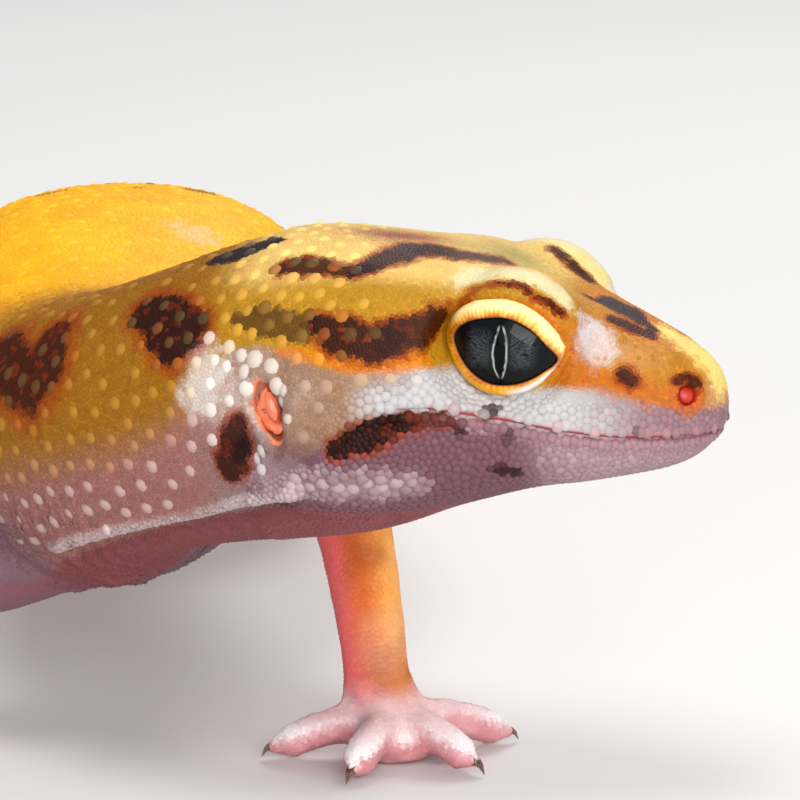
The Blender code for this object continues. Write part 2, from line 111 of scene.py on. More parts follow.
def body_places(points):
    """Station, side and height in millimetres of points in millimetres."""
    points = np.asarray(points, float)
    out = np.empty_like(points)
    coarse = slice(None, None, 4)
    ax, ay, at, a_s = axis_x[coarse], axis_y[coarse], axis_turn[coarse], axis_s[coarse]
    for first in range(0, len(points), BATCH):
        some = points[first:first + BATCH]
        gap = (some[:, :1] - ax) ** 2 + (some[:, 1:2] - ay) ** 2
        near = np.argmin(gap, axis=1)
        dx, dy = some[:, 0] - ax[near], some[:, 1] - ay[near]
        c, s = np.cos(at[near]), np.sin(at[near])
        out[first:first + BATCH, 0] = a_s[near] - (dx * c + dy * s)
        out[first:first + BATCH, 1] = -dx * s + dy * c
    out[:, 2] = points[:, 2]
    return out


def world_point(station, side, height):
    """The world point, in millimetres, of one place on the body."""
    turn = float(np.interp(station, axis_s, axis_turn))
    x = float(np.interp(station, axis_s, axis_x)) - side * math.sin(turn)
    y = float(np.interp(station, axis_s, axis_y)) + side * math.cos(turn)
    if station < 0:
        x, y = x - station * math.cos(turn), y - station * math.sin(turn)
    return np.array([x, y, height])


print("eye stands at", body_places(middle_of("eye_right")[None])[0].round(2))

# %% [markdown]
# ## Noise by hand
#
# Natural colour breaks up at every scale. Blender's noise nodes would do for a material, but
# here the same pattern must colour both the skin and each scale on it, so the noise is worked
# out once, in plain arrays. It is value noise: random numbers on a grid, blended smoothly.


# %% Value noise
def grain(points, size, seed):
    """Smooth noise from -1 to 1 with features of about the given size."""
    cell = np.asarray(points, float) / size
    corner = np.floor(cell).astype(np.int64)
    part = cell - corner
    part = part * part * (3 - 2 * part)
    total = np.zeros(len(cell))
    for i in (0, 1):
        for j in (0, 1):
            for k in (0, 1):
                spot = (corner[:, 0] + i) * 73856093 ^ (corner[:, 1] + j) * 19349663
                spot = spot ^ (corner[:, 2] + k) * 83492791 ^ (seed * 2654435)
                spot = (spot * 1103515245 + 12345) & 0x7FFFFFFF
                spot = ((spot ^ (spot >> 13)) * 1274126177) & 0x7FFFFFFF
                value = (spot >> 8) / float(0x7FFFFF)
                share = np.abs(1 - i - part[:, 0]) * np.abs(1 - j - part[:, 1])
                total += value * share * np.abs(1 - k - part[:, 2])
    return total * 2 - 1


def rough_grain(points, size, seed):
    """Three sizes of noise together, each half as wide and half as strong as the last."""
    return (grain(points, size, seed) + 0.5 * grain(points, size / 2, seed + 1)
            + 0.25 * grain(points, size / 4, seed + 2)) / 1.5


print("noise", grain(np.array([[1.0, 2.0, 3.0], [4.0, 5.5, 6.2]]), 2.0, 1).round(3))

# %% [markdown]
# ## Camera, floor and light
#
# The camera stands close above the animal's eye level and looks at the right side of its head
# along a long lens, which keeps the head's proportions true. Large soft lamps wrap round the
# small scales, and a weaker one from behind draws the outline. An oblong lamp low beside the
# camera lights the legs under the head, and leaves a slanting gleam in the eye.

# %% Camera
RISE = math.radians(12.0)
CAMERA_DISTANCE = 280.0
AIM_STATION, AIM_HEIGHT = 20.15, 26.2
aim = snout - forward * AIM_STATION + np.array([0.0, 0.0, AIM_HEIGHT])


def add_object(name, data):
    """A new object in the scene that shows the given data."""
    made = bpy.data.objects.new(name, data)
    bpy.context.scene.collection.objects.link(made)
    return made


camera_data = bpy.data.cameras.new("camera")
camera_data.lens = 207.9
camera_data.sensor_width = 36.0
camera_data.clip_start = 0.01
camera = add_object("camera", camera_data)
camera.location = Vector((aim[0] + CAMERA_DISTANCE * math.cos(RISE), aim[1],
                          aim[2] + CAMERA_DISTANCE * math.sin(RISE))) * MM
camera.rotation_euler = (math.pi / 2 - RISE, 0.0, math.pi / 2)
bpy.context.scene.camera = camera
print("camera at", tuple(round(v, 4) for v in camera.location))


# %% Floor and soft studio light
def area_light(name, place, size, power, colour, tall=None, lean=0.0):
    """A round lamp, or an oblong one when tall is given, turned to the animal."""
    data = bpy.data.lights.new(name, "AREA")
    data.shape = "RECTANGLE" if tall else "DISK"
    data.size = size
    data.size_y = tall or size
    data.energy = power
    data.color = colour
    lamp = add_object(name, data)
    lamp.location = place
    toward = (Vector(aim * MM) - Vector(place)).to_track_quat("-Z", "Y")
    lamp.rotation_euler = (toward @ Quaternion((0.0, 0.0, 1.0), math.radians(lean))).to_euler()


def new_look(name):
    """A new material, with its node tree and its shader."""
    look = bpy.data.materials.new(name)
    look.use_nodes = True
    return look, look.node_tree, look.node_tree.nodes["Principled BSDF"]


area_light("key", (0.30, -0.10, 0.58), 0.30, 1.8, (1.0, 0.985, 0.96))
area_light("fill", (0.62, 0.16, 0.10), 1.00, 3.0, (1.0, 0.99, 0.98))
area_light("window", (0.39, 0.13, 0.13), 0.30, 0.9, (1.0, 0.99, 0.98), 0.13, -35.0)
area_light("back", (-0.34, 0.16, 0.44), 0.30, 1.4, (1.0, 0.97, 0.92))
world = bpy.data.worlds.new("studio")
world.use_nodes = True
sky = world.node_tree.nodes["Background"]
sky.inputs["Color"].default_value = (0.93, 0.95, 1.0, 1.0)
sky.inputs["Strength"].default_value = 0.45
bpy.context.scene.world = world
bpy.context.scene.view_settings.view_transform = "Standard"

floor_mesh = bmesh.new()
bmesh.ops.create_grid(floor_mesh, x_segments=1, y_segments=1, size=3.0)
floor_data = bpy.data.meshes.new("floor")
floor_mesh.to_mesh(floor_data)
floor_mesh.free()
floor = add_object("floor", floor_data)
floor_look, _, floor_shader = new_look("pale_floor")
floor_shader.inputs["Base Color"].default_value = (0.74, 0.74, 0.735, 1)
floor_shader.inputs["Roughness"].default_value = 0.7
floor_data.materials.append(floor_look)
print("four lamps and a floor")

# %% [markdown]
# ## One skin over the flesh
#
# The solids are parted by thin gaps, but a living skin has no gaps. Each solid is swollen a
# little so that it meets its neighbours, all are joined, and a voxel remesh wraps them in one
# closed surface. Smoothing melts the facets away: strongly on the trunk and gently on the head.
# On the feet the volume that smoothing takes is given back, so that the toes stay full.

# %% Wrap the solids
FLESH = [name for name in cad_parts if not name.startswith(("claw", "eye_", "eardrum"))]
CLAWS = [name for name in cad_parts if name.startswith("claw")]
SWELL, TOE_TIP = 0.22, 0.50
VOXEL = 0.40


def read_out(items, what, width, kind=np.float32):
    """One property of all of a mesh's points, edges or faces, with a row for each."""
    flat = np.empty(len(items) * width, kind)
    items.foreach_get(what, flat)
    return flat.reshape(-1, width)


def points_of(data):
    """The points of a mesh, in millimetres."""
    return read_out(data.vertices, "co", 3).astype(float) / MM


def swollen_union(names):
    """The named nodes in one mesh, with a ball at each claw's root, swollen along the normals."""
    joined = bmesh.new()
    for name in names:
        joined.from_mesh(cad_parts[name].data)
    for name in CLAWS:
        points = points_of(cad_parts[name].data)
        foot = middle_of("foot_" + "_".join(name.split("_")[1:3]))
        reach = np.linalg.norm(points - foot, axis=1)
        root = points[reach < reach.min() + 0.35].mean(axis=0)
        ball = bmesh.ops.create_icosphere(joined, subdivisions=2, radius=TOE_TIP * MM)
        bmesh.ops.translate(joined, verts=ball["verts"], vec=Vector(root * MM))
    joined.normal_update()
    for vertex in joined.verts:
        vertex.co += vertex.normal * SWELL * MM
    data = bpy.data.meshes.new("flesh")
    joined.to_mesh(data)
    joined.free()
    return data


def remeshed(data, size):
    """A voxel remesh of a mesh, as a new mesh with nothing left on it."""
    holder = add_object("holder", data)
    change = holder.modifiers.new("Remesh", "REMESH")
    change.mode = "VOXEL"
    change.voxel_size = size * MM
    bpy.context.view_layer.update()
    graph = bpy.context.evaluated_depsgraph_get()
    made = bpy.data.meshes.new_from_object(holder.evaluated_get(graph))
    bpy.data.objects.remove(holder)
    return made


flesh = remeshed(swollen_union(FLESH + ["eye_left", "eye_right"]), VOXEL)
print("remeshed to", len(flesh.vertices), "points")

# %% [markdown]
# ## More points where the eye looks
#
# Fine folds need fine mesh, but only the head needs it. Splitting the head's faces once gives
# it twice the detail, and the rest of the body stays light.

# %% Split the head's faces
def refine(data, wanted):
    """Splits the edges whose two ends are both wanted."""
    mesh = bmesh.new()
    mesh.from_mesh(data)
    mesh.verts.ensure_lookup_table()
    edges = [e for e in mesh.edges if wanted[e.verts[0].index] and wanted[e.verts[1].index]]
    bmesh.ops.subdivide_edges(mesh, edges=edges, cuts=1, use_grid_fill=True)
    mesh.to_mesh(data)
    mesh.free()


def put_points(data, points):
    """Writes points in millimetres back to the mesh."""
    data.vertices.foreach_set("co", (np.asarray(points) * MM).astype(np.float32).ravel())
    data.update()


def normals_of(data):
    return read_out(data.vertex_normals, "vector", 3).astype(float)


def edges_of(data):
    return read_out(data.edges, "vertices", 2, np.int32)


def triangles_of(data):
    data.calc_loop_triangles()
    return read_out(data.loop_triangles, "vertices", 3, np.int32)


HEAD_END, CHEST_HEIGHT = 27.0, 16.0
start_places = body_places(points_of(flesh))
refine(flesh, (start_places[:, 0] < HEAD_END) & (start_places[:, 2] > CHEST_HEIGHT))
print("refined to", len(flesh.vertices), "points")


# %% Which solid a point belongs to
corners, cad_faces, face_owner = [], [], []
for name in FLESH:
    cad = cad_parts[name].data
    base = len(corners)
    corners.extend(tuple(v.co / MM) for v in cad.vertices)
    cad_faces.extend([base + i for i in face.vertices] for face in cad.polygons)
    face_owner.extend([name] * len(cad.polygons))
cad_tree = BVHTree.FromPolygons(corners, cad_faces)
LIMBS = [name for name in FLESH if name.split("_")[0] in ("upper", "forearm", "thigh", "shin", "foot")]


def part_names(points):
    """The name of the nearest solid for every point."""
    return np.array([face_owner[cad_tree.find_nearest(p)[2]] for p in points])


def smoothed(data, points, strength, rounds, back=0.0):
    """Moves each point towards its neighbours' mean. With back set, volume is given back."""
    pairs = edges_of(data)
    both = np.concatenate((pairs, pairs[:, ::-1]))
    count = np.bincount(both[:, 0], minlength=len(points))
    for step in range(rounds):
        mean = np.stack([
            np.bincount(both[:, 0], weights=points[both[:, 1], k], minlength=len(points))
            for k in range(3)
        ], axis=1) / count[:, None]
        factor = -back if back and step % 2 else 1.0
        points = points + (mean - points) * (strength * factor)[:, None]
    return points


def read_skin(data):
    """The skin's points, the solid that each is on, and which are on feet and on limbs."""
    points = points_of(data)
    kinds = part_names(points)
    return points, kinds, np.char.startswith(kinds, "foot"), np.isin(kinds, LIMBS)


skin_points, kind_of, on_foot, on_limb = read_skin(flesh)
print("points on limbs", on_limb.sum(), "of them on feet", on_foot.sum())

# %% Smooth by region
places = body_places(skin_points)
calm = np.where(on_limb, 0.45, np.where(places[:, 0] < HEAD_END, 0.42, 0.5)) * ~on_foot
skin_points = smoothed(flesh, skin_points, calm, 26)
far = (~on_foot).astype(float) * fade(places[:, 0], 24, 30) * 0.5
skin_points = smoothed(flesh, skin_points, far, 36)
skin_points = smoothed(flesh, skin_points, on_foot * 0.55, 24, back=1.03)
put_points(flesh, skin_points)
print("smoothed", len(skin_points), "points")

# %% [markdown]
# ## Sink the skin under the scales' tips
#
# The solids show the outline over the scales, so the skin must lie lower by the height of a
# scale. The same step takes back the swelling. On the feet the scales are tiny, so the skin
# hardly sinks there.

# %% Sink the skin
FOOT_DEPTH, LIMB_DEPTH, HEAD_DEPTH, BODY_DEPTH = 0.04, 0.10, 0.11, 0.17
depth = np.where(on_foot, FOOT_DEPTH, np.where(on_limb, LIMB_DEPTH, BODY_DEPTH))
depth = np.where(~on_limb & (places[:, 0] < HEAD_END), HEAD_DEPTH, depth)
skin_points = skin_points - normals_of(flesh) * (SWELL + depth)[:, None]
skin_points[:, 2] = np.maximum(skin_points[:, 2], 0.0)
put_points(flesh, skin_points)
print("skin sunk by", depth.min(), "to", depth.max(), "mm")

# %% [markdown]
# ## Sculpting with falloffs
#
# A sculptor's brush is a push that fades with distance. The same can be written down: a line of
# places laid on the skin, a width, and a push along the skin's normal. That makes folds, grooves
# and ridges that stay where they are put, and each can be changed by changing a number.

# %% Lines laid on the skin
FAR = 9.0    # further from a stroke than any brush reaches


def hump(value, middle, width):
    """1 at the middle, and falling away smoothly on both sides."""
    return np.exp(-((value - middle) / width) ** 2)


def tree_of(data, points):
    return BVHTree.FromPolygons(points.tolist(), triangles_of(data).tolist())


def laid(tree, line, hand, radius=0.0, step=0.6):
    """A line of body places laid on the skin of one side, with a radius at every spot."""
    spots, radii = [], []
    line = [tuple(place) + ((radius,) if len(place) == 3 else ()) for place in line]
    if len(line) == 1:
        line = line * 2
    for a, b in zip(line, line[1:]):
        a, b = np.array(a, float), np.array(b, float)
        pieces = max(1, int(np.ceil(np.linalg.norm((b - a)[:3]) / step)))
        spots.extend(a + (b - a) * k / pieces for k in range(pieces))
    spots.append(np.array(line[-1], float))
    path = []
    for spot in spots:
        start = world_point(spot[0], spot[1] * -hand, spot[2])
        path.append(np.array(tree.find_nearest(start)[0]))
        radii.append(spot[3])
    return np.array(path), np.array(radii)


def stroke_gap(points, path, radii, reach):
    """Distance of points beyond a stroke's edge, negative inside it, and where along it."""
    gap = np.full(len(points), FAR)
    share = np.zeros(len(points))
    low, high = path.min(axis=0) - reach, path.max(axis=0) + reach
    near = np.flatnonzero(((points > low) & (points < high)).all(axis=1))
    some = points[near]
    best, where_at = np.full(len(some), FAR), np.zeros(len(some))
    for i in range(len(path) - 1):
        a, along = path[i], path[i + 1] - path[i]
        t = np.clip((some - a) @ along / max(along @ along, 1e-9), 0.0, 1.0)
        far = np.linalg.norm(some - a - t[:, None] * along, axis=1)
        far = far - (radii[i] + (radii[i + 1] - radii[i]) * t)
        closer = far < best
        best = np.where(closer, far, best)
        where_at = np.where(closer, (i + t) / (len(path) - 1), where_at)
    gap[near], share[near] = best, where_at
    return gap, share


MOUTH = ((-0.2, -0.01, 25.45), (0.5, -1.4, 25.45), (1.1, -2.8, 25.5), (3.0, -4.6, 25.6),
         (5.9, -6.3, 25.8), (8.8, -7.7, 26.3), (11.8, -8.7, 27.0), (13.8, -9.2, 27.35),
         (16.2, -9.8, 27.75), (17.8, -10.2, 27.8), (19.4, -10.5, 27.4), (20.8, -10.7, 26.6))
print("mouth line of", len(MOUTH), "places")

# %% Sculpt the head and neck
FOLDS = (
    # reach, push outwards, line of (station, side, height)
    (0.55, 0.66, ((24.6, -9.6, 22.5), (26.5, -8.9, 21.7), (30.1, -6.7, 20.2), (33.2, -6.0, 18.8),
                  (36.0, -5.9, 17.4), (39.0, -5.9, 15.9))),
    (0.90, -0.62, ((25.5, -8.6, 20.9), (29.5, -6.3, 19.2), (33.5, -5.4, 17.5), (38.5, -5.2, 14.6))),
    (0.70, -0.30, ((26.2, -9.2, 28.6), (26.9, -9.3, 26.6), (26.4, -9.5, 24.0))),
    (0.50, 0.30, ((26.0, -9.9, 25.2), (26.2, -9.6, 24.0), (26.0, -9.3, 22.6))),
    (0.80, 0.28, ((24.2, -10.1, 28.9), (24.2, -10.2, 27.2), (24.0, -10.2, 25.4))),
    (0.80, 0.16, ((6.0, -6.4, 27.4), (10.0, -8.0, 27.9), (14.0, -9.2, 28.5), (17.0, -9.9, 28.7),
                  (19.5, -10.3, 28.4))),
    (0.90, 0.22, ((3.0, -3.1, 30.4), (5.5, -4.2, 31.6), (8.2, -5.0, 33.0))),
    (1.10, -0.24, ((5.2, -5.2, 29.6), (8.2, -6.0, 30.2))),
    (1.30, -0.16, ((3.2, -0.01, 31.0), (8.0, -0.01, 33.2))),
    (0.50, -0.30, ((18.5, -10.3, 27.0), (20.6, -10.6, 26.7), (22.2, -10.6, 25.4))),
    (0.80, -0.22, ((42.0, -6.6, 21.5), (43.5, -6.6, 18.0), (44.5, -6.4, 14.5))),
    (0.70, 0.26, ((41.5, 0.8, 13.0), (43.5, -1.0, 12.6), (45.5, -2.2, 12.2))),
)


def push_lines(data, points, lines):
    """Pushes the skin along its normals beside each line, on both sides of the animal."""
    tree, normal = tree_of(data, points), normals_of(data)
    push = np.zeros(len(points))
    for reach, height, line in lines:
        for hand in (1, -1):
            path, radii = laid(tree, line, hand)
            gap, _ = stroke_gap(points, path, radii, reach * 3)
            push += height * hump(np.maximum(gap, 0), 0.0, reach)
    return points + normal * (push * ~on_limb)[:, None]


skin_points = push_lines(flesh, skin_points, FOLDS)
WRINKLE_PITCH, WRINKLE_HEIGHT = 1.05, 0.10
station, _, rise = body_places(skin_points).T
slant = station + 0.18 * rise + 0.5 * grain(skin_points, 3.0, 5)
wrinkle = np.sin(slant * 2 * np.pi / WRINKLE_PITCH)
wrinkled = fade(station, 34, 38) * (1 - fade(station, 50, 56)) * (1 - fade(rise, 18, 21))
push = wrinkle * wrinkled * WRINKLE_HEIGHT * ~on_limb
skin_points = skin_points + normals_of(flesh) * push[:, None]
put_points(flesh, skin_points)
print("folds", len(FOLDS), "on each side")

# %% [markdown]
# ## A finer mesh for the crisp lines
#
# The mouth's crease is a fifth of a millimetre wide. The mesh along it, round the eyes and at
# the ears and nostrils is split once more, so that these lines come out sharp.

# %% Split along mouth, eyes, ears and nostrils
EYE_RADIUS = 3.7
NOSTRIL = ((2.2, -3.2, 27.95),)
EAR_SLIT = ((26.2, -9.0, 28.5), (26.1, -9.3, 27.5), (25.7, -9.4, 26.6), (25.0, -9.6, 25.7))


def eye_frame(hand):
    """Centre of the eyeball and its forward, up and outward directions, in millimetres."""
    centre = world_point(EYE_STATION, EYE_SIDE * hand, EYE_HEIGHT)
    return centre, forward, np.array([0.0, 0.0, 1.0]), leftward * hand


def eye_local(points, hand):
    centre, ahead, up, out = eye_frame(hand)
    return np.stack([(points - centre) @ v for v in (ahead, up, out)], axis=1)


tree = tree_of(flesh, skin_points)
fine = np.zeros(len(skin_points), bool)
for hand in (1, -1):
    for line, reach in ((MOUTH, 0.75), (EAR_SLIT, 1.3), (NOSTRIL, 1.2)):
        path, radii = laid(tree, line, hand)
        fine |= stroke_gap(skin_points, path, radii, reach)[0] < reach
    local = eye_local(skin_points, hand)
    around_eye = np.linalg.norm(local[:, :2], axis=1)
    fine |= (local[:, 2] > 0) & (around_eye < 5.0) & (around_eye > 1.2) & ~on_limb
refine(flesh, fine)
skin_points, kind_of, on_foot, on_limb = read_skin(flesh)
print("now", len(skin_points), "points")

# %% The mouth's crease and lips
tree = tree_of(flesh, skin_points)
signed = np.full(len(skin_points), FAR)
rear = np.zeros(len(skin_points))
for hand in (1, -1):
    path, radii = laid(tree, MOUTH, hand, step=0.4)
    gap, share = stroke_gap(skin_points, path, radii, 2.0)
    level = np.interp(share, np.linspace(0, 1, len(path)), path[:, 2])
    closer = gap < np.abs(signed)
    signed = np.where(closer, gap * np.sign(skin_points[:, 2] - level), signed)
    rear = np.where(closer, 1 - fade(share, 0.90, 1.0), rear)
crease, upper_lip, lower_lip = -0.26, 0.16, 0.10
push = rear * (crease * hump(signed, -0.04, 0.13) + upper_lip * hump(signed, 0.34, 0.30)
               + lower_lip * hump(signed, -0.42, 0.24))
skin_points = skin_points + normals_of(flesh) * (push * ~on_limb)[:, None]
put_points(flesh, skin_points)
print("mouth crease", push.min().round(2), "mm, lips", push.max().round(2), "mm")

# %% [markdown]
# ## Sockets for the eyes
#
# A gecko's eye fills its socket, and the lids lie on the ball like a fitted cap. The skin round
# the eye is therefore drawn onto a sphere just larger than the eyeball. Inside the lids' opening
# it is pushed in behind the ball, so that the real eyeball shows there.

# %% The opening between the lids
OPENING = ((-3.12, 0.28), (-2.85, 0.86), (-2.25, 1.32), (-1.55, 1.60), (-0.75, 1.76), (0.05, 1.80),
           (0.90, 1.58), (1.72, 1.06), (2.45, 0.22), (3.02, -0.76), (2.27, -1.46), (1.27, -1.98),
           (0.20, -2.22), (-0.86, -2.16), (-1.75, -1.70), (-2.42, -1.04), (-2.88, -0.34))


def closed_curve(knots, count):
    """A smooth closed curve through the knots, by Catmull-Rom pieces."""
    knots = np.asarray(knots, float)
    n = len(knots)
    where = np.linspace(0, n, count, endpoint=False)
    i = where.astype(int)
    t = (where - i)[:, None]
    a, b, c, d = (knots[(i + k) % n] for k in (-1, 0, 1, 2))
    return 0.5 * (2 * b + (c - a) * t + (2 * a - 5 * b + 4 * c - d) * t**2
                  + (3 * b - a - 3 * c + d) * t**3)


OUTLINE = closed_curve(OPENING, 120)


def inside_distance(flat):
    """Distance of flat points to the opening's outline, negative inside it."""
    gap = np.full(len(flat), 1e9)
    crossings = np.zeros(len(flat), int)
    for a, b in zip(OUTLINE, np.roll(OUTLINE, -1, axis=0)):
        edge = b - a
        t = np.clip((flat - a) @ edge / (edge @ edge), 0, 1)
        gap = np.minimum(gap, np.linalg.norm(flat - a - t[:, None] * edge, axis=1))
        spans = (a[1] > flat[:, 1]) != (b[1] > flat[:, 1])
        level = (flat[:, 1] - a[1]) / (b[1] - a[1] + 1e-12)
        crossings += spans & (flat[:, 0] < a[0] + edge[0] * level)
    return np.where(crossings % 2 == 1, -gap, gap)


def lid_width(flat):
    """Width of the lids' rim, by direction: broad above, narrow below and in front."""
    turn = np.degrees(np.arctan2(flat[:, 1] + 0.2, flat[:, 0]))
    turns = (-180, -150, -90, -60, -38, -22, -14, -9, -3, 10, 35, 90, 130, 160, 180)
    widths = (0.66, 0.80, 0.78, 0.68, 0.50, 0.26, 0.15, 0.24, 0.62, 0.82, 0.88, 0.98, 1.0, 0.76, 0.66)
    return np.interp(turn, turns, widths)


print("opening", np.ptp(OUTLINE[:, 0]).round(2), "by", np.ptp(OUTLINE[:, 1]).round(2), "mm")


# %% Fit the skin to the eyeballs
LID_THICKNESS = 0.22


def fit_socket(points, hand):
    """Draws the skin round one eye onto a sphere, and pushes it in behind the ball."""
    centre, ahead, up, out = eye_frame(hand)
    local = eye_local(points, hand)
    near = (np.linalg.norm(local, axis=1) < 7.0) & (local[:, 2] > -0.5) & ~on_limb
    flat = local[near]
    gap = inside_distance(flat[:, :2])
    rho = np.linalg.norm(flat[:, :2], axis=1)
    cap = EYE_RADIUS + LID_THICKNESS
    ball = np.sqrt(np.maximum(cap**2 - rho**2, 0.0))
    ball = np.where(rho > cap * 0.96, cap * 0.28, ball)
    hold = 1.0 - fade(gap, 0.7, 2.0)
    hold = hold * np.where(rho < cap, 1.0, 1.0 - fade(rho, cap, cap + 1.1))
    flat[:, 2] = flat[:, 2] * (1 - hold) + ball * hold
    edge = lid_width(flat)
    crease = 0.26 * hump(gap - edge, 0.0, 0.18) - 0.12 * hump(gap - edge, 0.5, 0.3)
    flat[:, 2] -= crease * (gap > 0)
    pocket = gap < 0.20
    flat[pocket, 2] = np.sqrt(np.maximum((EYE_RADIUS - 0.5) ** 2 - rho[pocket] ** 2, 0.0)) * 0.6 - 0.2
    moved = points.copy()
    moved[near] = centre + flat[:, :1] * ahead + flat[:, 1:2] * up + flat[:, 2:] * out
    return moved


for hand in (1, -1):
    skin_points = fit_socket(skin_points, hand)
put_points(flesh, skin_points)
print("sockets fitted to a radius of", round(EYE_RADIUS + LID_THICKNESS, 2), "mm")

# %% [markdown]
# ## Nostrils and ears
#
# The nostril is a small pit with a soft red wall. The ear is a slanting slit without a flap,
# with salmon-coloured skin inside. Both are pushed in, and they stay free of scales.

# %% Pits and slits
whole_tree = tree_of(flesh, skin_points)
push = np.zeros(len(skin_points))
for hand in (1, -1):
    path, radii = laid(whole_tree, NOSTRIL, hand)
    gap, _ = stroke_gap(skin_points, path, radii, 3.0)
    push += -0.36 * (1 - fade(gap, 0.45, 0.75)) + 0.16 * hump(gap, 0.95, 0.30)
    path, radii = laid(whole_tree, EAR_SLIT, hand)
    gap, share = stroke_gap(skin_points, path, radii, 3.0)
    half = 0.34 + 0.20 * np.sin(np.pi * np.clip(share, 0, 1))
    push += -0.62 * (1 - fade(gap / half, 0.70, 1.4)) + 0.16 * hump(gap, 1.0, 0.35)
skin_points = skin_points + normals_of(flesh) * (push * ~on_limb)[:, None]
put_points(flesh, skin_points)
places = body_places(skin_points)
skin_normal = normals_of(flesh)
skin_triangles = triangles_of(flesh)
skin_tree = tree_of(flesh, skin_points)
print("deepest pit", push.min().round(2), "mm")

# %% [markdown]
# ## The markings
#
# A gecko's pattern is painted by cells in the skin, so it crosses skin and scales alike. Here
# the pattern is a function that gives a colour for any place. Ground colours change with height
# and station. Dark marks are strokes laid on the skin, each a line of places with a radius. Noise
# frays their edges, so single scales at the border are dark or bright as on the animal.


# %% Named colours
def tone(r, g, b):
    """A linear colour from the values as the eye sees them, from 0 to 255."""
    seen = np.array([r, g, b]) / 255.0
    return np.where(seen <= 0.04045, seen / 12.92, ((seen + 0.055) / 1.055) ** 2.4)


CREAM, OCHRE, ORANGE = tone(240, 204, 118), tone(180, 130, 26), tone(222, 116, 6)
GOLD, WHITE, LILAC = tone(250, 180, 10), tone(180, 176, 176), tone(152, 116, 90)
MAUVE, THROAT = tone(110, 74, 82), tone(130, 70, 74)
DARK, SLATE, BROWN, RUST = tone(20, 2, 1), tone(40, 28, 34), tone(44, 15, 4), tone(150, 52, 2)
OLIVE, UMBER, TAN = tone(84, 52, 16), tone(38, 7, 1), tone(150, 98, 16)
SALMON, RED, PINK = tone(226, 128, 88), tone(156, 14, 8), tone(220, 158, 162)
BELLY, NECK, CHEST = tone(236, 222, 214), tone(154, 102, 94), tone(116, 90, 100)
SNOUT, PEACH = tone(180, 112, 34), tone(206, 150, 110)


def blend(colour, other, share):
    """Moves each colour towards the other by its share."""
    share = np.clip(share, 0, 1)[:, None]
    return colour * (1 - share) + other * share


def all_over(colour, points):
    """The same colour for every point."""
    return np.tile(colour, (len(points), 1))


print("cream is", CREAM.round(3), "in linear light")

# %% Ground colours
# the border between the yellow upper side and the pale lower side: (station, height)
BORDER = np.array(((0.0, 27.0), (2.9, 27.5), (4.6, 28.0), (6.9, 28.8), (9.1, 28.8), (12.0, 28.7),
                   (16.0, 29.8), (18.0, 30.2), (20.9, 30.0), (22.7, 30.1), (24.1, 30.7), (26.5, 31.0),
                   (28.2, 30.4), (29.4, 28.0), (31.0, 25.4), (34.0, 23.2), (38.0, 21.4), (46.0, 18.6),
                   (60.0, 17.0), (100.0, 16.2), (112.0, 15.4)))


def border_height(s):
    return np.interp(s, BORDER[:, 0], BORDER[:, 1])


def jaw_height(s):
    """Height of the mouth line, carried on behind the mouth's corner."""
    stations = [place[0] for place in MOUTH[1:]] + [24.0, 30.0]
    heights = [place[2] for place in MOUTH[1:]] + [24.6, 23.6]
    return np.interp(s, stations, heights)


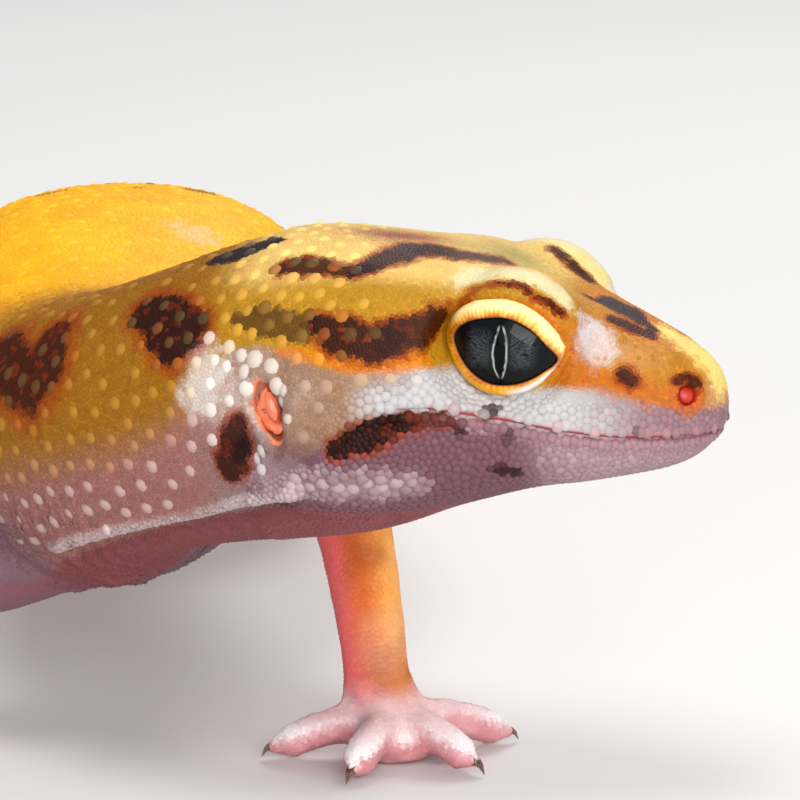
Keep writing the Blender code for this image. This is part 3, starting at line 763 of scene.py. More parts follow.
def ground(points, where):
    """Colour of the body before the marks."""
    s, side, z = where.T
    wave = rough_grain(points, 2.6, 3)
    border = border_height(s) + wave * 0.30
    colour = all_over(OCHRE, where)
    crown = fade(z, 33.2, 35.0) * (1 - fade(np.abs(side), 5.6, 7.6)) * (1 - fade(s, 27, 33))
    colour = blend(colour, CREAM, crown * (0.86 + 0.3 * wave))
    colour = blend(colour, tone(238, 168, 96), np.clip(0.2 + rough_grain(points, 1.8, 5), 0, 1) * crown * 0.7)
    reddish = np.exp(-(((s - 20.0) / 3.6) ** 2 + ((side + 0.4) / 1.9) ** 2)) * crown
    colour = blend(colour, tone(146, 78, 54), reddish * (0.95 + 0.4 * wave))
    greenish = np.exp(-(((s - 13.2) / 2.6) ** 2 + ((side - 0.6) / 2.6) ** 2)) * crown
    colour = blend(colour, tone(160, 144, 66), greenish * 0.88)
    snout_part = 1 - fade(s, 7.0, 11.0)
    colour = blend(colour, SNOUT, snout_part * (0.85 + 0.3 * wave) * (1 - 0.4 * crown))
    colour = blend(colour, ORANGE, snout_part * np.clip(0.25 + wave, 0, 1) * 0.6)
    colour = blend(colour, PEACH, (1 - fade(s, 0.4, 1.6)) * 0.7)
    colour = blend(colour, TAN, fade(s, 27, 31))
    colour = blend(colour, GOLD, fade(s, 42, 52))
    colour = blend(colour, ORANGE, fade(s, 42, 52) * np.clip(0.25 + 0.6 * wave, 0, 1) * 0.5)
    pale = all_over(WHITE, where)
    pale = blend(pale, tone(140, 108, 114), 1 - fade(s, 3.0, 9.0))
    pale = blend(pale, tone(186, 162, 150), fade(s, 23.5, 26.0))
    pale = blend(pale, LILAC, fade(s, 19.0, 21.5) * (1 - fade(s, 25.0, 26.0)) * (0.90 + 0.3 * wave))
    pale = blend(pale, LILAC, fade(s, 16.5, 19.0) * fade(z, 28.6, 29.6) * 0.7)
    pale = blend(pale, MAUVE, fade(s, 21.0, 23.5) * (1 - fade(z, 25.0, 27.0)) * 0.7)
    pale = blend(pale, NECK, fade(s, 27.8, 30.2) * 0.9)
    pale = blend(pale, CHEST, fade(s, 38, 44) * (1 - fade(z, 16, 20)))
    pale = blend(pale, BELLY, fade(s, 54, 62))
    soft = 0.3 + 1.8 * fade(s, 28, 31)
    colour = blend(colour, pale, 1 - fade((z - border) / soft, -1, 1))
    jaw_tone = blend(all_over(MAUVE, where), tone(150, 120, 128), 1 - fade(s, 8.0, 12.0))
    colour = blend(colour, jaw_tone, fade(jaw_height(s) - z, 0.0, 0.3) * (1 - fade(s, 25.5, 28)))
    throat_line = np.interp(s, (0, 6, 12, 18, 24, 26, 30, 34, 39, 44),
                            (22.6, 22.2, 21.8, 21.2, 21.4, 21.1, 19.7, 17.9, 15.4, 12.0))
    colour = blend(colour, THROAT, fade(throat_line - z, -0.1, 0.35) * (1 - fade(s, 41, 47)))
    return colour, border


print("border from", BORDER[0], "to", BORDER[-1])

# %% The marks as strokes
BOTH, RIGHT, LEFT = (1, -1), (-1,), (1,)
# each row has: core, rim, rim width, fray, strength, orange specks, sides, and a line of
# (station, side, height, radius)
MARKS = (
    (UMBER, RUST, 0.50, 0.50, 0.90, 0.7, RIGHT, ((25.8, -5.5, 35.1, 0.50), (24.7, -5.6, 35.3, 0.78),
                                                 (23.6, -5.8, 35.3, 0.76), (22.4, -6.1, 35.1, 0.55),
                                                 (21.0, -6.0, 35.2, 0.55))),
    (SLATE, RUST, 0.60, 0.45, 0.92, 0.1, RIGHT, ((21.2, -6.0, 35.2, 0.55), (19.6, -4.2, 35.8, 1.05),
                                                 (18.8, -3.1, 36.0, 1.20), (17.6, -2.7, 36.0, 1.15))),
    (UMBER, RUST, 0.60, 0.50, 0.90, 0.4, RIGHT, ((17.6, -2.7, 36.0, 1.05), (16.0, -3.1, 35.9, 0.95),
                                                 (14.4, -2.6, 35.6, 0.80), (13.5, -1.7, 35.3, 0.60))),
    (SLATE, RUST, 0.55, 0.40, 0.90, 0.1, LEFT, ((25.4, -5.8, 35.1, 0.50), (23.4, -6.0, 35.2, 0.60),
                                                (21.6, -6.3, 35.0, 0.42), (19.5, -5.5, 35.4, 0.75),
                                                (17.5, -4.9, 35.6, 0.80), (15.6, -5.0, 35.3, 0.60))),
    (SLATE, SLATE, 0.15, 0.25, 0.97, 0.0, BOTH, ((30.4, -2.6, 34.8, 0.66), (29.2, -2.6, 35.2, 0.98),
                                                 (27.9, -2.2, 35.8, 0.85), (26.9, -2.2, 36.1, 0.45))),
    (OLIVE, OCHRE, 0.50, 0.50, 0.88, 0.0, BOTH, ((27.8, -7.3, 32.2, 0.55), (26.4, -7.9, 32.3, 0.85),
                                                 (25.1, -8.4, 32.2, 0.90), (23.9, -8.8, 32.1, 0.85))),
    (UMBER, RUST, 0.70, 0.60, 0.93, 0.6, BOTH, ((22.9, -8.9, 32.3, 0.75), (22.0, -9.3, 32.0, 1.00),
                                                (21.0, -9.6, 31.7, 1.10), (19.8, -9.7, 31.6, 1.10),
                                                (18.8, -9.5, 31.7, 1.00))),
    (BROWN, RUST, 0.60, 0.60, 0.92, 0.2, BOTH, ((18.6, -9.4, 31.8, 0.95), (17.8, -9.0, 32.0, 1.05),
                                                (17.0, -8.4, 32.3, 1.05), (16.3, -7.4, 32.7, 0.85))),
    (DARK, RUST, 1.00, 0.70, 0.93, 0.3, BOTH, ((33.0, -5.6, 31.9, 1.30), (31.6, -6.4, 31.4, 1.85),
                                               (30.4, -6.6, 31.2, 1.35), (31.2, -7.3, 30.0, 1.00))),
    (UMBER, RUST, 1.60, 0.80, 0.88, 0.4, BOTH, ((38.4, -6.2, 29.4, 1.30), (38.2, -7.2, 27.9, 1.90),
                                                (38.7, -7.8, 26.3, 1.60), (41.4, -7.4, 27.4, 1.70))),
    (UMBER, RUST, 0.60, 0.50, 0.92, 0.2, BOTH, ((27.5, -9.1, 26.3, 0.60), (27.6, -8.9, 25.2, 1.05),
                                                (27.7, -8.7, 24.2, 1.15), (27.9, -8.5, 23.3, 0.75))),
    (DARK, BROWN, 0.40, 0.40, 0.80, 0.0, BOTH, ((27.2, -9.0, 25.2, 0.35), (27.4, -8.8, 24.5, 0.40))),
    (DARK, RUST, 0.45, 0.45, 0.95, 0.2, BOTH, ((21.6, -10.7, 25.4, 0.50), (20.2, -10.5, 26.0, 0.86),
                                               (18.8, -10.2, 26.6, 0.84), (17.5, -10.1, 27.0, 0.52))),
    (BROWN, RUST, 0.35, 0.40, 0.60, 0.0, BOTH, ((17.2, -10.1, 27.1, 0.34), (15.0, -9.4, 27.1, 0.22))),
    (BROWN, BROWN, 0.30, 0.35, 0.70, 0.0, RIGHT, ((12.8, -8.2, 27.6, 0.46),)),
    (BROWN, BROWN, 0.15, 0.35, 0.70, 0.0, BOTH, ((14.4, -9.3, 26.5, 0.26),)),
    (BROWN, BROWN, 0.20, 0.35, 0.40, 0.0, BOTH, ((11.8, -8.6, 26.2, 0.38),)),
    (BROWN, BROWN, 0.20, 0.35, 0.78, 0.0, RIGHT, ((12.6, -8.3, 24.1, 0.32), (11.6, -7.9, 23.9, 0.30))),
    (BROWN, BROWN, 0.10, 0.20, 0.50, 0.0, BOTH, ((4.9, -5.7, 26.3, 0.14),)),
    (SLATE, RUST, 0.35, 0.40, 0.95, 0.0, RIGHT, ((8.2, -0.6, 33.1, 0.60), (7.1, -0.4, 32.7, 1.05),
                                                 (6.0, -0.4, 32.2, 1.15), (4.8, -0.9, 31.6, 0.65))),
    (SLATE, RUST, 0.35, 0.40, 0.95, 0.0, RIGHT, ((7.4, 0.5, 32.8, 0.70), (6.0, 0.6, 32.3, 0.75))),
    (SLATE, RUST, 0.40, 0.40, 0.90, 0.1, RIGHT, ((6.6, -2.7, 32.1, 0.40), (5.6, -2.5, 31.8, 0.52),
                                                 (4.7, -2.1, 31.3, 0.46))),
    (BROWN, RUST, 0.50, 0.45, 0.92, 0.1, BOTH, ((5.6, -4.6, 29.3, 0.50), (5.2, -4.7, 29.1, 0.42))),
    (UMBER, RUST, 0.40, 0.40, 0.90, 0.1, BOTH, ((2.9, -3.1, 28.7, 0.20), (2.1, -3.0, 28.9, 0.34),
                                                (1.4, -2.8, 28.7, 0.24))),
    (RUST, OCHRE, 0.30, 0.50, 0.80, 0.0, BOTH, ((15.3, -6.5, 33.2, 0.22), (14.4, -6.7, 34.3, 0.30),
                                                (13.0, -7.1, 34.9, 0.34), (11.7, -7.2, 34.9, 0.34),
                                                (10.7, -7.3, 34.6, 0.34), (9.6, -7.1, 33.8, 0.32),
                                                (8.8, -6.7, 33.0, 0.26))),
    (UMBER, RUST, 0.25, 0.55, 0.88, 0.3, BOTH, ((12.9, -7.0, 35.0, 0.12), (11.7, -7.1, 35.0, 0.24),
                                                (10.9, -7.2, 34.7, 0.24))),
    (UMBER, RUST, 0.25, 0.55, 0.85, 0.3, BOTH, ((10.3, -7.2, 34.4, 0.16), (9.6, -7.1, 33.8, 0.18),
                                                (9.0, -6.8, 33.2, 0.12))),
    (UMBER, RUST, 0.40, 0.45, 0.92, 0.2, LEFT, ((11.5, -3.5, 35.2, 0.22), (10.8, -3.2, 34.8, 0.34),
                                                (10.0, -2.9, 34.3, 0.34), (9.2, -2.7, 33.6, 0.26))),
)
# each row has: colour, strength, softness, sides, line
LIGHT_PATCHES = (
    (tone(210, 200, 202), 0.92, 1.6, BOTH, ((7.7, -4.9, 31.6, 0.55), (7.1, -4.7, 31.0, 0.55))),
    (tone(226, 214, 166), 0.90, 1.4, BOTH, ((14.8, -5.9, 35.0, 0.30), (12.9, -5.6, 35.4, 0.50),
                                            (11.0, -5.9, 35.2, 0.50), (9.2, -5.7, 34.2, 0.35))),
    (tone(196, 176, 176), 0.75, 0.50, BOTH, tuple((*place, 0.36) for place in FOLDS[0][2])),
    (tone(214, 200, 190), 0.80, 1.40, BOTH, ((29.6, -7.6, 30.0, 0.45), (29.0, -8.1, 28.9, 0.70),
                                             (29.6, -8.2, 27.6, 0.50))),
    (tone(196, 146, 92), 0.34, 1.80, BOTH, ((6.8, -4.7, 30.7, 0.30), (5.4, -4.0, 30.4, 0.50),
                                             (4.4, -3.0, 30.8, 0.40), (4.2, -2.2, 31.2, 0.20))),
    (tone(250, 214, 122), 0.85, 1.40, BOTH, ((0.4, -0.6, 28.6, 0.50), (1.2, -0.4, 29.8, 0.60),
                                             (2.4, -0.6, 30.7, 0.45), (3.6, -0.4, 31.2, 0.25))),
    (tone(186, 92, 16), 0.65, 0.95, BOTH, ((9.6, -6.7, 29.9, 0.35), (8.0, -6.1, 29.5, 0.50),
                                           (6.4, -5.4, 29.0, 0.45), (4.4, -4.6, 28.4, 0.35),
                                           (3.2, -4.2, 28.0, 0.25))),
    (tone(226, 186, 150), 0.50, 2.60, RIGHT, ((64.0, 5.4, 31.2, 0.30), (62.0, 6.0, 30.8, 0.30))),
    (tone(164, 142, 148), 0.50, 1.30, BOTH, ((27.0, -9.0, 23.6, 0.50), (24.0, -9.9, 23.3, 0.75),
                                             (20.5, -9.9, 23.2, 0.65), (17.0, -9.5, 22.9, 0.30))),
    (ORANGE, 0.60, 0.5, BOTH, ((25.3, -9.2, 31.0, 0.20), (20.8, -10.1, 30.3, 0.30), (18.3, -9.8, 30.4, 0.30),
                               (16.5, -8.6, 30.5, 0.25))),
    (tone(190, 92, 26), 0.85, 0.5, BOTH, ((*NOSTRIL[0], 0.95),)),
    (SALMON, 0.95, 0.15, BOTH, tuple((*place, 0.58) for place in EAR_SLIT)),
    (RED, 0.97, 0.12, BOTH, ((*NOSTRIL[0], 0.62),)),
    (tone(168, 116, 120), 0.50, 0.20, BOTH, tuple((*place, 0.26) for place in MOUTH[1:9])),
    (tone(140, 52, 50), 0.92, 0.10, BOTH, tuple((*place, 0.09) for place in MOUTH[1:9])),
    (tone(146, 108, 114), 0.55, 0.30, BOTH, tuple((place[0], place[1], place[2] - 0.62, 0.28)
                                                 for place in MOUTH[1:8])),
)


def all_strokes(table):
    """Every stroke of a table, laid on the sides that it names, on the skin without its pits."""
    return [(row, hand, *laid(whole_tree, row[-1], hand)) for row in table for hand in row[-2]]


dark_strokes = all_strokes(MARKS)
light_strokes = all_strokes(LIGHT_PATCHES)
print(len(dark_strokes), "dark strokes and", len(light_strokes), "light ones laid")


# %% Paint the marks
def marked(points, colour, jitter):
    """The colour after the light patches and the dark marks. jitter moves each point's border."""
    ragged = grain(points, 0.60, 11) * 0.7 + grain(points, 0.30, 12) * 0.5 + jitter
    specks = grain(points, 0.42, 14)
    for (tint, strength, soft, _, _), _, path, radii in light_strokes:
        gap, _ = stroke_gap(points, path, radii, 3.0)
        share = 1 - fade(gap + ragged * (0.15 + 0.30 * (soft > 0.9)) * soft, 0, soft * 0.8 + 0.05)
        colour = blend(colour, tint, share * strength)
    cores = []
    for (core, rim, width, fray, strength, speckle, _, _), hand, path, radii in dark_strokes:
        gap, _ = stroke_gap(points, path, radii, 4.0)
        gap = gap + ragged * fray * 0.6 + (0.25 if hand > 0 else 0.0) * grain(points, 2.0, 17)
        ring = 1 - fade(gap, width * 0.25, width * 1.1)
        colour = blend(colour, rim, ring * 0.80 * strength)
        inside = (1 - fade(gap, -0.08 - 0.14 * width, 0.12 + 0.22 * width)) * strength
        cores.append((core, inside, speckle))
    for core, inside, speckle in cores:
        colour = blend(colour, core, inside)
        colour = blend(colour, RUST, inside * fade(specks, 0.25, 0.45) * speckle)
    return colour


def beyond_lid(points, hand, reach):
    """Eye distances of all points, which are near the eye, and how far those are beyond its lids."""
    local = eye_local(points, hand)
    near = (np.linalg.norm(local, axis=1) < reach) & (local[:, 2] > -0.5)
    gap = np.full(len(points), FAR)
    gap[near] = inside_distance(local[near, :2]) - lid_width(local[near])
    return local, near, gap


def round_the_eyes(points, colour):
    """Rusty skin next to the lids, and the cream roll over the left eye."""
    for hand in (1, -1):
        local, _, gap = beyond_lid(points, hand, 5.6)
        share = (1 - fade(gap, 0.15, 1.0)) * fade(local[:, 1] + 0.5 * local[:, 0], -0.4, 0.6)
        share = share * fade(-local[:, 1], -3.3, -2.4)
        colour = blend(colour, tone(196, 104, 26), share * (0.75 + 0.3 * grain(points, 0.8, 18)))
    local = eye_local(points, 1)
    near = (np.linalg.norm(local, axis=1) < 4.9) & (local[:, 1] > 0.4)
    edge = -0.7 - 0.42 * np.clip(local[:, 0], -1, 3)
    share = fade(local[:, 2] - edge, 0.0, 0.25) * fade(local[:, 0], -0.9, -0.2) * near
    return blend(colour, tone(236, 214, 138), share * 0.92)


# %% Back, tail and legs
def back_pattern(points, where, colour, border):
    """Small brown blotches over the back, fading down the flanks."""
    s, _, z = where.T
    spots = grain(points, 3.4, 21) + 0.35 * grain(points, 1.2, 22)
    strength = fade(s, 68, 82) * (1 - fade(s, 108, 114)) * fade(z - border, 0.0, 3.0)
    colour = blend(colour, BROWN, fade(spots, 0.30, 0.50) * strength * 0.75)
    band = np.cos((s - 62) / 24 * 2 * np.pi) + 0.4 * grain(points, 5.0, 23)
    return blend(colour, LILAC, fade(band, 0.80, 1.15) * strength * 0.35)


def tail_pattern(points, where):
    """Pale and dark bands round the tail, with a pale underside."""
    s, _, z = where.T
    band = np.sin((s - 108) / 17.5 * 2 * np.pi) + 0.45 * rough_grain(points, 4.0, 31)
    colour = blend(all_over(tone(240, 222, 196), where), GOLD, fade(132 - s, 0, 16) * 0.7)
    dark = blend(all_over(SLATE, where), BROWN, 0.5 + 0.5 * grain(points, 2.0, 32))
    colour = blend(colour, dark, fade(band, -0.05, 0.3) * (1 - fade(s, 186, 190)) * 0.92)
    middle = np.interp(s, (112, 122, 132, 144, 172, 200), (18, 13, 8, 6, 4, 0.6))
    return blend(colour, BELLY, fade(middle * 0.62 - z, -0.6, 1.2) * 0.85)


def leg_pattern(points, where, normal, kinds):
    """Orange on the outer side of the legs, rosy on the inner side, pale pink feet with a painted highlight
    on the tops of the toes.
    """
    outer = normal[:, 0] * 0.30 + normal[:, 1] * 0.85 * np.sign(where[:, 1]) + normal[:, 2] * 0.4
    warm = blend(all_over(tone(220, 108, 42), where), tone(252, 170, 86), fade(outer, 0.4, 1.0))
    warm = blend(warm, tone(178, 84, 34), fade(rough_grain(points, 3.2, 45), -0.1, 0.6) * 0.65)
    warm = blend(warm, tone(168, 76, 36), fade(10 - points[:, 2], 0, 5) * 0.60)
    warm = blend(warm, tone(244, 190, 160), fade(grain(points, 3.8, 42), 0.35, 0.80) * 0.25)
    colour = blend(all_over(tone(244, 112, 110), where), warm,
                   fade(outer + 0.20 * grain(points, 2.5, 43), -0.45, 0.45))
    foot_tone_and_highlight = blend(all_over(PINK, where), tone(198, 122, 126), 0.4 + 0.6 * grain(points, 1.6, 44))
    # near-white where the foot faces up, most on the toes: a painted highlight
    foot_tone_and_highlight = blend(foot_tone_and_highlight, tone(255, 253, 250), fade(normal[:, 2] + 0.25 * grain(points, 2.6, 47), -0.1, 0.7)
                 * (0.90 - 0.60 * fade(points[:, 2], 1.6, 3.4)))
    foot = np.char.startswith(kinds, "foot")
    low = fade(5.0 - points[:, 2] + 0.6 * grain(points, 1.4, 46), -0.8, 1.6)
    return blend(colour, foot_tone_and_highlight, np.where(foot, low, 0.0))


def gecko_colour(points, normal, kinds, jitter=0.0):
    """Colour at points of the whole animal, in linear red, green and blue."""
    where = body_places(points)
    colour, border = ground(points, where)
    colour = round_the_eyes(points, colour)
    colour = marked(points, colour, jitter)
    colour = back_pattern(points, where, colour, border)
    tail = np.char.startswith(kinds, "tail")
    share = fade(where[:, 0], 109, 117) * (tail | (kinds == "trunk"))
    colour = blend(colour, tail_pattern(points, where), share)
    root = np.isin(kinds, [n for n in LIMBS if n.split("_")[0] in ("upper", "thigh")])
    share = np.isin(kinds, LIMBS) * np.where(root, fade(np.abs(where[:, 1]), 10.0, 14.5), 1.0)
    colour = blend(colour, leg_pattern(points, where, normal, kinds), share)
    return np.clip(colour, 0.001, 1.0)


skin_colour = gecko_colour(skin_points, skin_normal, kind_of)
print("mean skin colour", skin_colour.mean(axis=0).round(3))

# %% [markdown]
# ## The skin's material
#
# Skin is colour under a thin, slightly translucent and slightly oily surface. The colour comes
# from the markings, stored on the mesh as the attribute "tone". Light sinks in a little, so the
# subsurface is on with a short red-leaning radius. A fine noise breaks up gloss and bump.


# %% Skin and scale materials
def set_tone(data, colours):
    """Stores one colour per point as the mesh attribute tone."""
    attribute = data.color_attributes.new("tone", "FLOAT_COLOR", "POINT")
    four = np.ones((len(colours), 4), np.float32)
    four[:, :3] = colours
    attribute.data.foreach_set("color", four.ravel())


def fine_noise(tree, scale):
    """A noise node that sits still on the model."""
    place = tree.nodes.new("ShaderNodeTexCoord")
    noise = tree.nodes.new("ShaderNodeTexNoise")
    noise.inputs["Scale"].default_value = scale
    tree.links.new(place.outputs["Object"], noise.inputs["Vector"])
    return noise


def ranged(tree, value, low, high):
    """Maps a value from 0 to 1 onto the range from low to high."""
    node = tree.nodes.new("ShaderNodeMapRange")
    node.inputs["To Min"].default_value = low
    node.inputs["To Max"].default_value = high
    tree.links.new(value, node.inputs["Value"])
    return node.outputs["Result"]


def scaled_by(tree, colour, factor):
    """A colour made lighter or darker by a factor."""
    node = tree.nodes.new("ShaderNodeVectorMath")
    node.operation = "SCALE"
    tree.links.new(colour, node.inputs[0])
    tree.links.new(factor, node.inputs["Scale"])
    return node.outputs["Vector"]


def add_relief(tree, height, shader, strength, distance):
    """Small bumps in the shader's gloss, from a height."""
    node = tree.nodes.new("ShaderNodeBump")
    node.inputs["Strength"].default_value = strength
    node.inputs["Distance"].default_value = distance
    tree.links.new(height, node.inputs["Height"])
    tree.links.new(node.outputs["Normal"], shader.inputs["Normal"])


def living_material(name, rough, gloss_range, bump, fine, subsurface, mottling=0.10, shine=0.13):
    """A Principled material that takes its colour from tone and its detail from noise."""
    look, tree, shader = new_look(name)
    colour = tree.nodes.new("ShaderNodeAttribute")
    colour.attribute_name = "tone"
    noise = fine_noise(tree, 1.0 / (fine * MM))
    noise.inputs["Detail"].default_value = 3.0
    shade = ranged(tree, noise.outputs["Fac"], 1.0 - mottling, 1.0 + mottling)
    tree.links.new(scaled_by(tree, colour.outputs["Color"], shade), shader.inputs["Base Color"])
    gloss = ranged(tree, noise.outputs["Fac"], rough - gloss_range, rough + gloss_range)
    tree.links.new(gloss, shader.inputs["Roughness"])
    add_relief(tree, noise.outputs["Fac"], shader, bump, fine * 0.35 * MM)
    shader.inputs["Subsurface Weight"].default_value = subsurface
    shader.inputs["Subsurface Radius"].default_value = (1.0, 0.45, 0.3)
    shader.inputs["Subsurface Scale"].default_value = 0.0004
    shader.inputs["Specular IOR Level"].default_value = shine
    return look


skin_look = living_material("skin", 0.55, 0.10, 0.5, 0.22, 0.12)
scale_look = living_material("scale_horn", 0.50, 0.08, 0.25, 0.10, 0.10, 0.07)
print("materials", skin_look.name, scale_look.name)


# %% Make the skin a piece
# the skin between the scales is painted a little darker than they are, as painted shade in the gaps, least so
# on the face and legs
painted_gap_shade = np.where(on_limb | (places[:, 0] < 13), 0.95, 0.88)
set_tone(flesh, skin_colour * painted_gap_shade[:, None])
flesh.materials.clear()
flesh.materials.append(skin_look)
flesh.shade_smooth()
flesh.name = "skin"
skin = add_object("skin", flesh)
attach(skin, "root")
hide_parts(*FLESH)
print("skin of", len(flesh.polygons), "faces")

# %% [markdown]
# ## The eyes
#
# A gecko's eye has no white. The iris fills the whole opening, here nearly black and laced with
# silver veins, and by day the pupil closes to an upright slit with pale edges. The veins are lit
# only in two patches beside the pupil, a painted reflection, and they fade out above and below;
# above, under the lid, that is painted shade. Each eyeball carries its own forward and up
# distances as the attribute "eye_place", so the nodes can draw the slit and the veins at any
# fineness.


# %% Eyeball material
PUPIL_TALL, PUPIL_WIDE = 1.66, 0.33


def eye_material():
    look, tree, shader = new_look("eye_gloss")
    nodes, links = tree.nodes, tree.links

    def sum_of(operation, *values):
        node = nodes.new("ShaderNodeMath")
        node.operation = operation
        for slot, value in enumerate(values):
            if isinstance(value, (int, float)):
                node.inputs[slot].default_value = value
            else:
                links.new(value, node.inputs[slot])
        return node.outputs[0]

    def rise_between(value, low, high):
        node = nodes.new("ShaderNodeMapRange")
        node.interpolation_type = "SMOOTHSTEP"
        node.inputs["From Min"].default_value = low
        node.inputs["From Max"].default_value = high
        links.new(value, node.inputs["Value"])
        return node.outputs["Result"]

    place = nodes.new("ShaderNodeAttribute")
    place.attribute_name = "eye_place"
    parts = nodes.new("ShaderNodeSeparateXYZ")
    links.new(place.outputs["Vector"], parts.inputs[0])
    rise = sum_of("ADD", parts.outputs["Y"], 0.22)
    along = sum_of("ADD", sum_of("ADD", parts.outputs["X"], 0.09), sum_of("MULTIPLY", rise, -0.03))
    wobble = nodes.new("ShaderNodeTexNoise")
    wobble.inputs["Scale"].default_value = 1.7
    links.new(place.outputs["Vector"], wobble.inputs["Vector"])
    tall = sum_of("DIVIDE", rise, PUPIL_TALL)
    lens = sum_of("SUBTRACT", 1.0, sum_of("MULTIPLY", tall, tall))
    half = sum_of("MULTIPLY", sum_of("MAXIMUM", lens, 0.0), PUPIL_WIDE)
    shake = sum_of("MULTIPLY", sum_of("SUBTRACT", wobble.outputs["Fac"], 0.5), 0.22)
    beyond = sum_of("SUBTRACT", sum_of("ABSOLUTE", sum_of("ADD", along, shake)), half)
    open_iris = rise_between(beyond, -0.02, 0.05)
    edge = sum_of("SUBTRACT", 1.0, rise_between(
        sum_of("ABSOLUTE", sum_of("SUBTRACT", beyond, 0.07)), 0.01, 0.10))
    edge = sum_of("MULTIPLY", edge, rise_between(lens, 0.0, 0.35))
    edge = sum_of("MULTIPLY", edge, rise_between(wobble.outputs["Fac"], 0.15, 0.50))

    reach = sum_of("SQRT", sum_of("ADD", sum_of("MULTIPLY", along, along),
                                  sum_of("MULTIPLY", rise, rise)))
    turn = nodes.new("ShaderNodeCombineXYZ")
    links.new(sum_of("MULTIPLY", sum_of("DIVIDE", along, reach), 4.2), turn.inputs["X"])
    links.new(sum_of("MULTIPLY", sum_of("DIVIDE", rise, reach), 4.2), turn.inputs["Y"])
    links.new(sum_of("MULTIPLY", reach, 1.0), turn.inputs["Z"])
    veins = nodes.new("ShaderNodeTexNoise")
    veins.inputs["Scale"].default_value = 2.4
    veins.inputs["Detail"].default_value = 7.0
    veins.inputs["Roughness"].default_value = 0.72
    veins.inputs["Distortion"].default_value = 0.6
    links.new(turn.outputs[0], veins.inputs["Vector"])
    crest = sum_of("SUBTRACT", 1.0, sum_of("MULTIPLY", sum_of(
        "ABSOLUTE", sum_of("SUBTRACT", veins.outputs["Fac"], 0.5)), 17.0))
    crest = sum_of("MAXIMUM", crest, 0.0)
    soft = sum_of("MULTIPLY", rise_between(veins.outputs["Fac"], 0.42, 0.72), 0.22)
    streaks = sum_of("ADD", sum_of("POWER", crest, 1.4), soft)
    # the veins are lit only in two patches beside the pupil, a painted reflection, and fade out above and
    # below; the darker top, under the lid, is painted shade
    wide = sum_of("ABSOLUTE", along)
    middle = sum_of("MULTIPLY", rise_between(wide, 0.35, 0.9),
                    sum_of("SUBTRACT", 1.0, rise_between(wide, 1.5, 2.35)))
    level = sum_of("SUBTRACT", 1.0, rise_between(sum_of("ABSOLUTE", sum_of("ADD", rise, -0.15)), 0.5, 1.45))
    light = sum_of("MULTIPLY", streaks, sum_of("MULTIPLY", sum_of("MULTIPLY", middle, level), 0.30))
    ramp = nodes.new("ShaderNodeValToRGB")
    ramp.color_ramp.elements[0].color = (0.0035, 0.0038, 0.0045, 1)
    ramp.color_ramp.elements[1].color = (0.20, 0.22, 0.235, 1)
    links.new(light, ramp.inputs["Fac"])
    pale = nodes.new("ShaderNodeMix")
    pale.data_type = "RGBA"
    pale.inputs["B"].default_value = (0.34, 0.38, 0.36, 1)
    links.new(sum_of("MULTIPLY", edge, 0.85), pale.inputs["Factor"])
    links.new(scaled_by(tree, ramp.outputs["Color"], open_iris), pale.inputs["A"])
    links.new(pale.outputs["Result"], shader.inputs["Base Color"])
    shader.inputs["Roughness"].default_value = 0.45
    shader.inputs["Specular IOR Level"].default_value = 0.0
    shader.inputs["Coat Weight"].default_value = 1.0
    shader.inputs["Coat Roughness"].default_value = 0.03
    shader.inputs["Coat IOR"].default_value = 1.22
    return look


eye_look = eye_material()
print("eye material with", len(eye_look.node_tree.nodes), "nodes")


# %% Build the eyeballs
BALL_SPAN = math.radians(108)    # the ball's back is cut off, where the head hides it


def make_eye(side, hand):
    """One eyeball, as rings of points round its outward axis."""
    centre, ahead, up, out = eye_frame(hand)
    rings, around = 40, 72
    local, faces = [(0.0, 0.0, EYE_RADIUS)], []
    for i in range(1, rings + 1):
        polar = BALL_SPAN * i / rings
        for k in range(around):
            turn = 2 * math.pi * k / around
            local.append((EYE_RADIUS * math.sin(polar) * math.cos(turn),
                          EYE_RADIUS * math.sin(polar) * math.sin(turn),
                          EYE_RADIUS * math.cos(polar)))
    local.append((0.0, 0.0, EYE_RADIUS * math.cos(BALL_SPAN)))
    for k in range(around):
        j = (k + 1) % around
        faces.append((0, 1 + k, 1 + j))
        for i in range(rings - 1):
            a, b = 1 + i * around, 1 + (i + 1) * around
            faces.append((a + k, b + k, b + j, a + j))
        last = 1 + (rings - 1) * around
        faces.append((last + j, last + k, len(local) - 1))
    local = np.array(local)
    world_points = centre + local[:, :1] * ahead + local[:, 1:2] * up + local[:, 2:] * out
    if hand > 0:
        faces = [face[::-1] for face in faces]
    data = bpy.data.meshes.new(f"eyeball_{side}")
    data.from_pydata((world_points * MM).tolist(), [], faces)
    place = data.attributes.new("eye_place", "FLOAT_VECTOR", "POINT")
    place.data.foreach_set("vector", local.astype(np.float32).ravel())
    data.shade_smooth()
    data.materials.append(eye_look)
    ball = add_object(f"eyeball_{side}", data)
    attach(ball, "root")
    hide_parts(f"eye_{side}")


for side, hand in (("left", 1), ("right", -1)):
    make_eye(side, hand)
print("two eyeballs of radius", EYE_RADIUS)

# %% [markdown]
# ## The lids' rims
#
# Leopard geckos are unusual among geckos because they have lids. Seen from the side they are a
# smooth fleshy roll round the eye, broad and cream above, thinner and golden below; the cream on
# the top of the roll is partly a painted highlight. Each roll is a profile carried round the
# opening, pressed onto the ball on its inner edge and sunk into the skin on its outer edge. Fine
# ridges cross its inner half like the milling of a coin.


# %% Sweep the lid rims
LID_STEPS, RIDGES = 340, 54


def make_piece(name, points, faces, look, colours):
    """A smooth, closed piece from points in millimetres and their colours."""
    data = bpy.data.meshes.new(name)
    data.from_pydata((points * MM).tolist(), [], faces)
    mesh = bmesh.new()
    mesh.from_mesh(data)
    bmesh.ops.recalc_face_normals(mesh, faces=mesh.faces)
    mesh.to_mesh(data)
    mesh.free()
    set_tone(data, np.clip(colours, 0, 1))
    data.shade_smooth()
    data.materials.append(look)
    made = add_object(name, data)
    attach(made, "root")


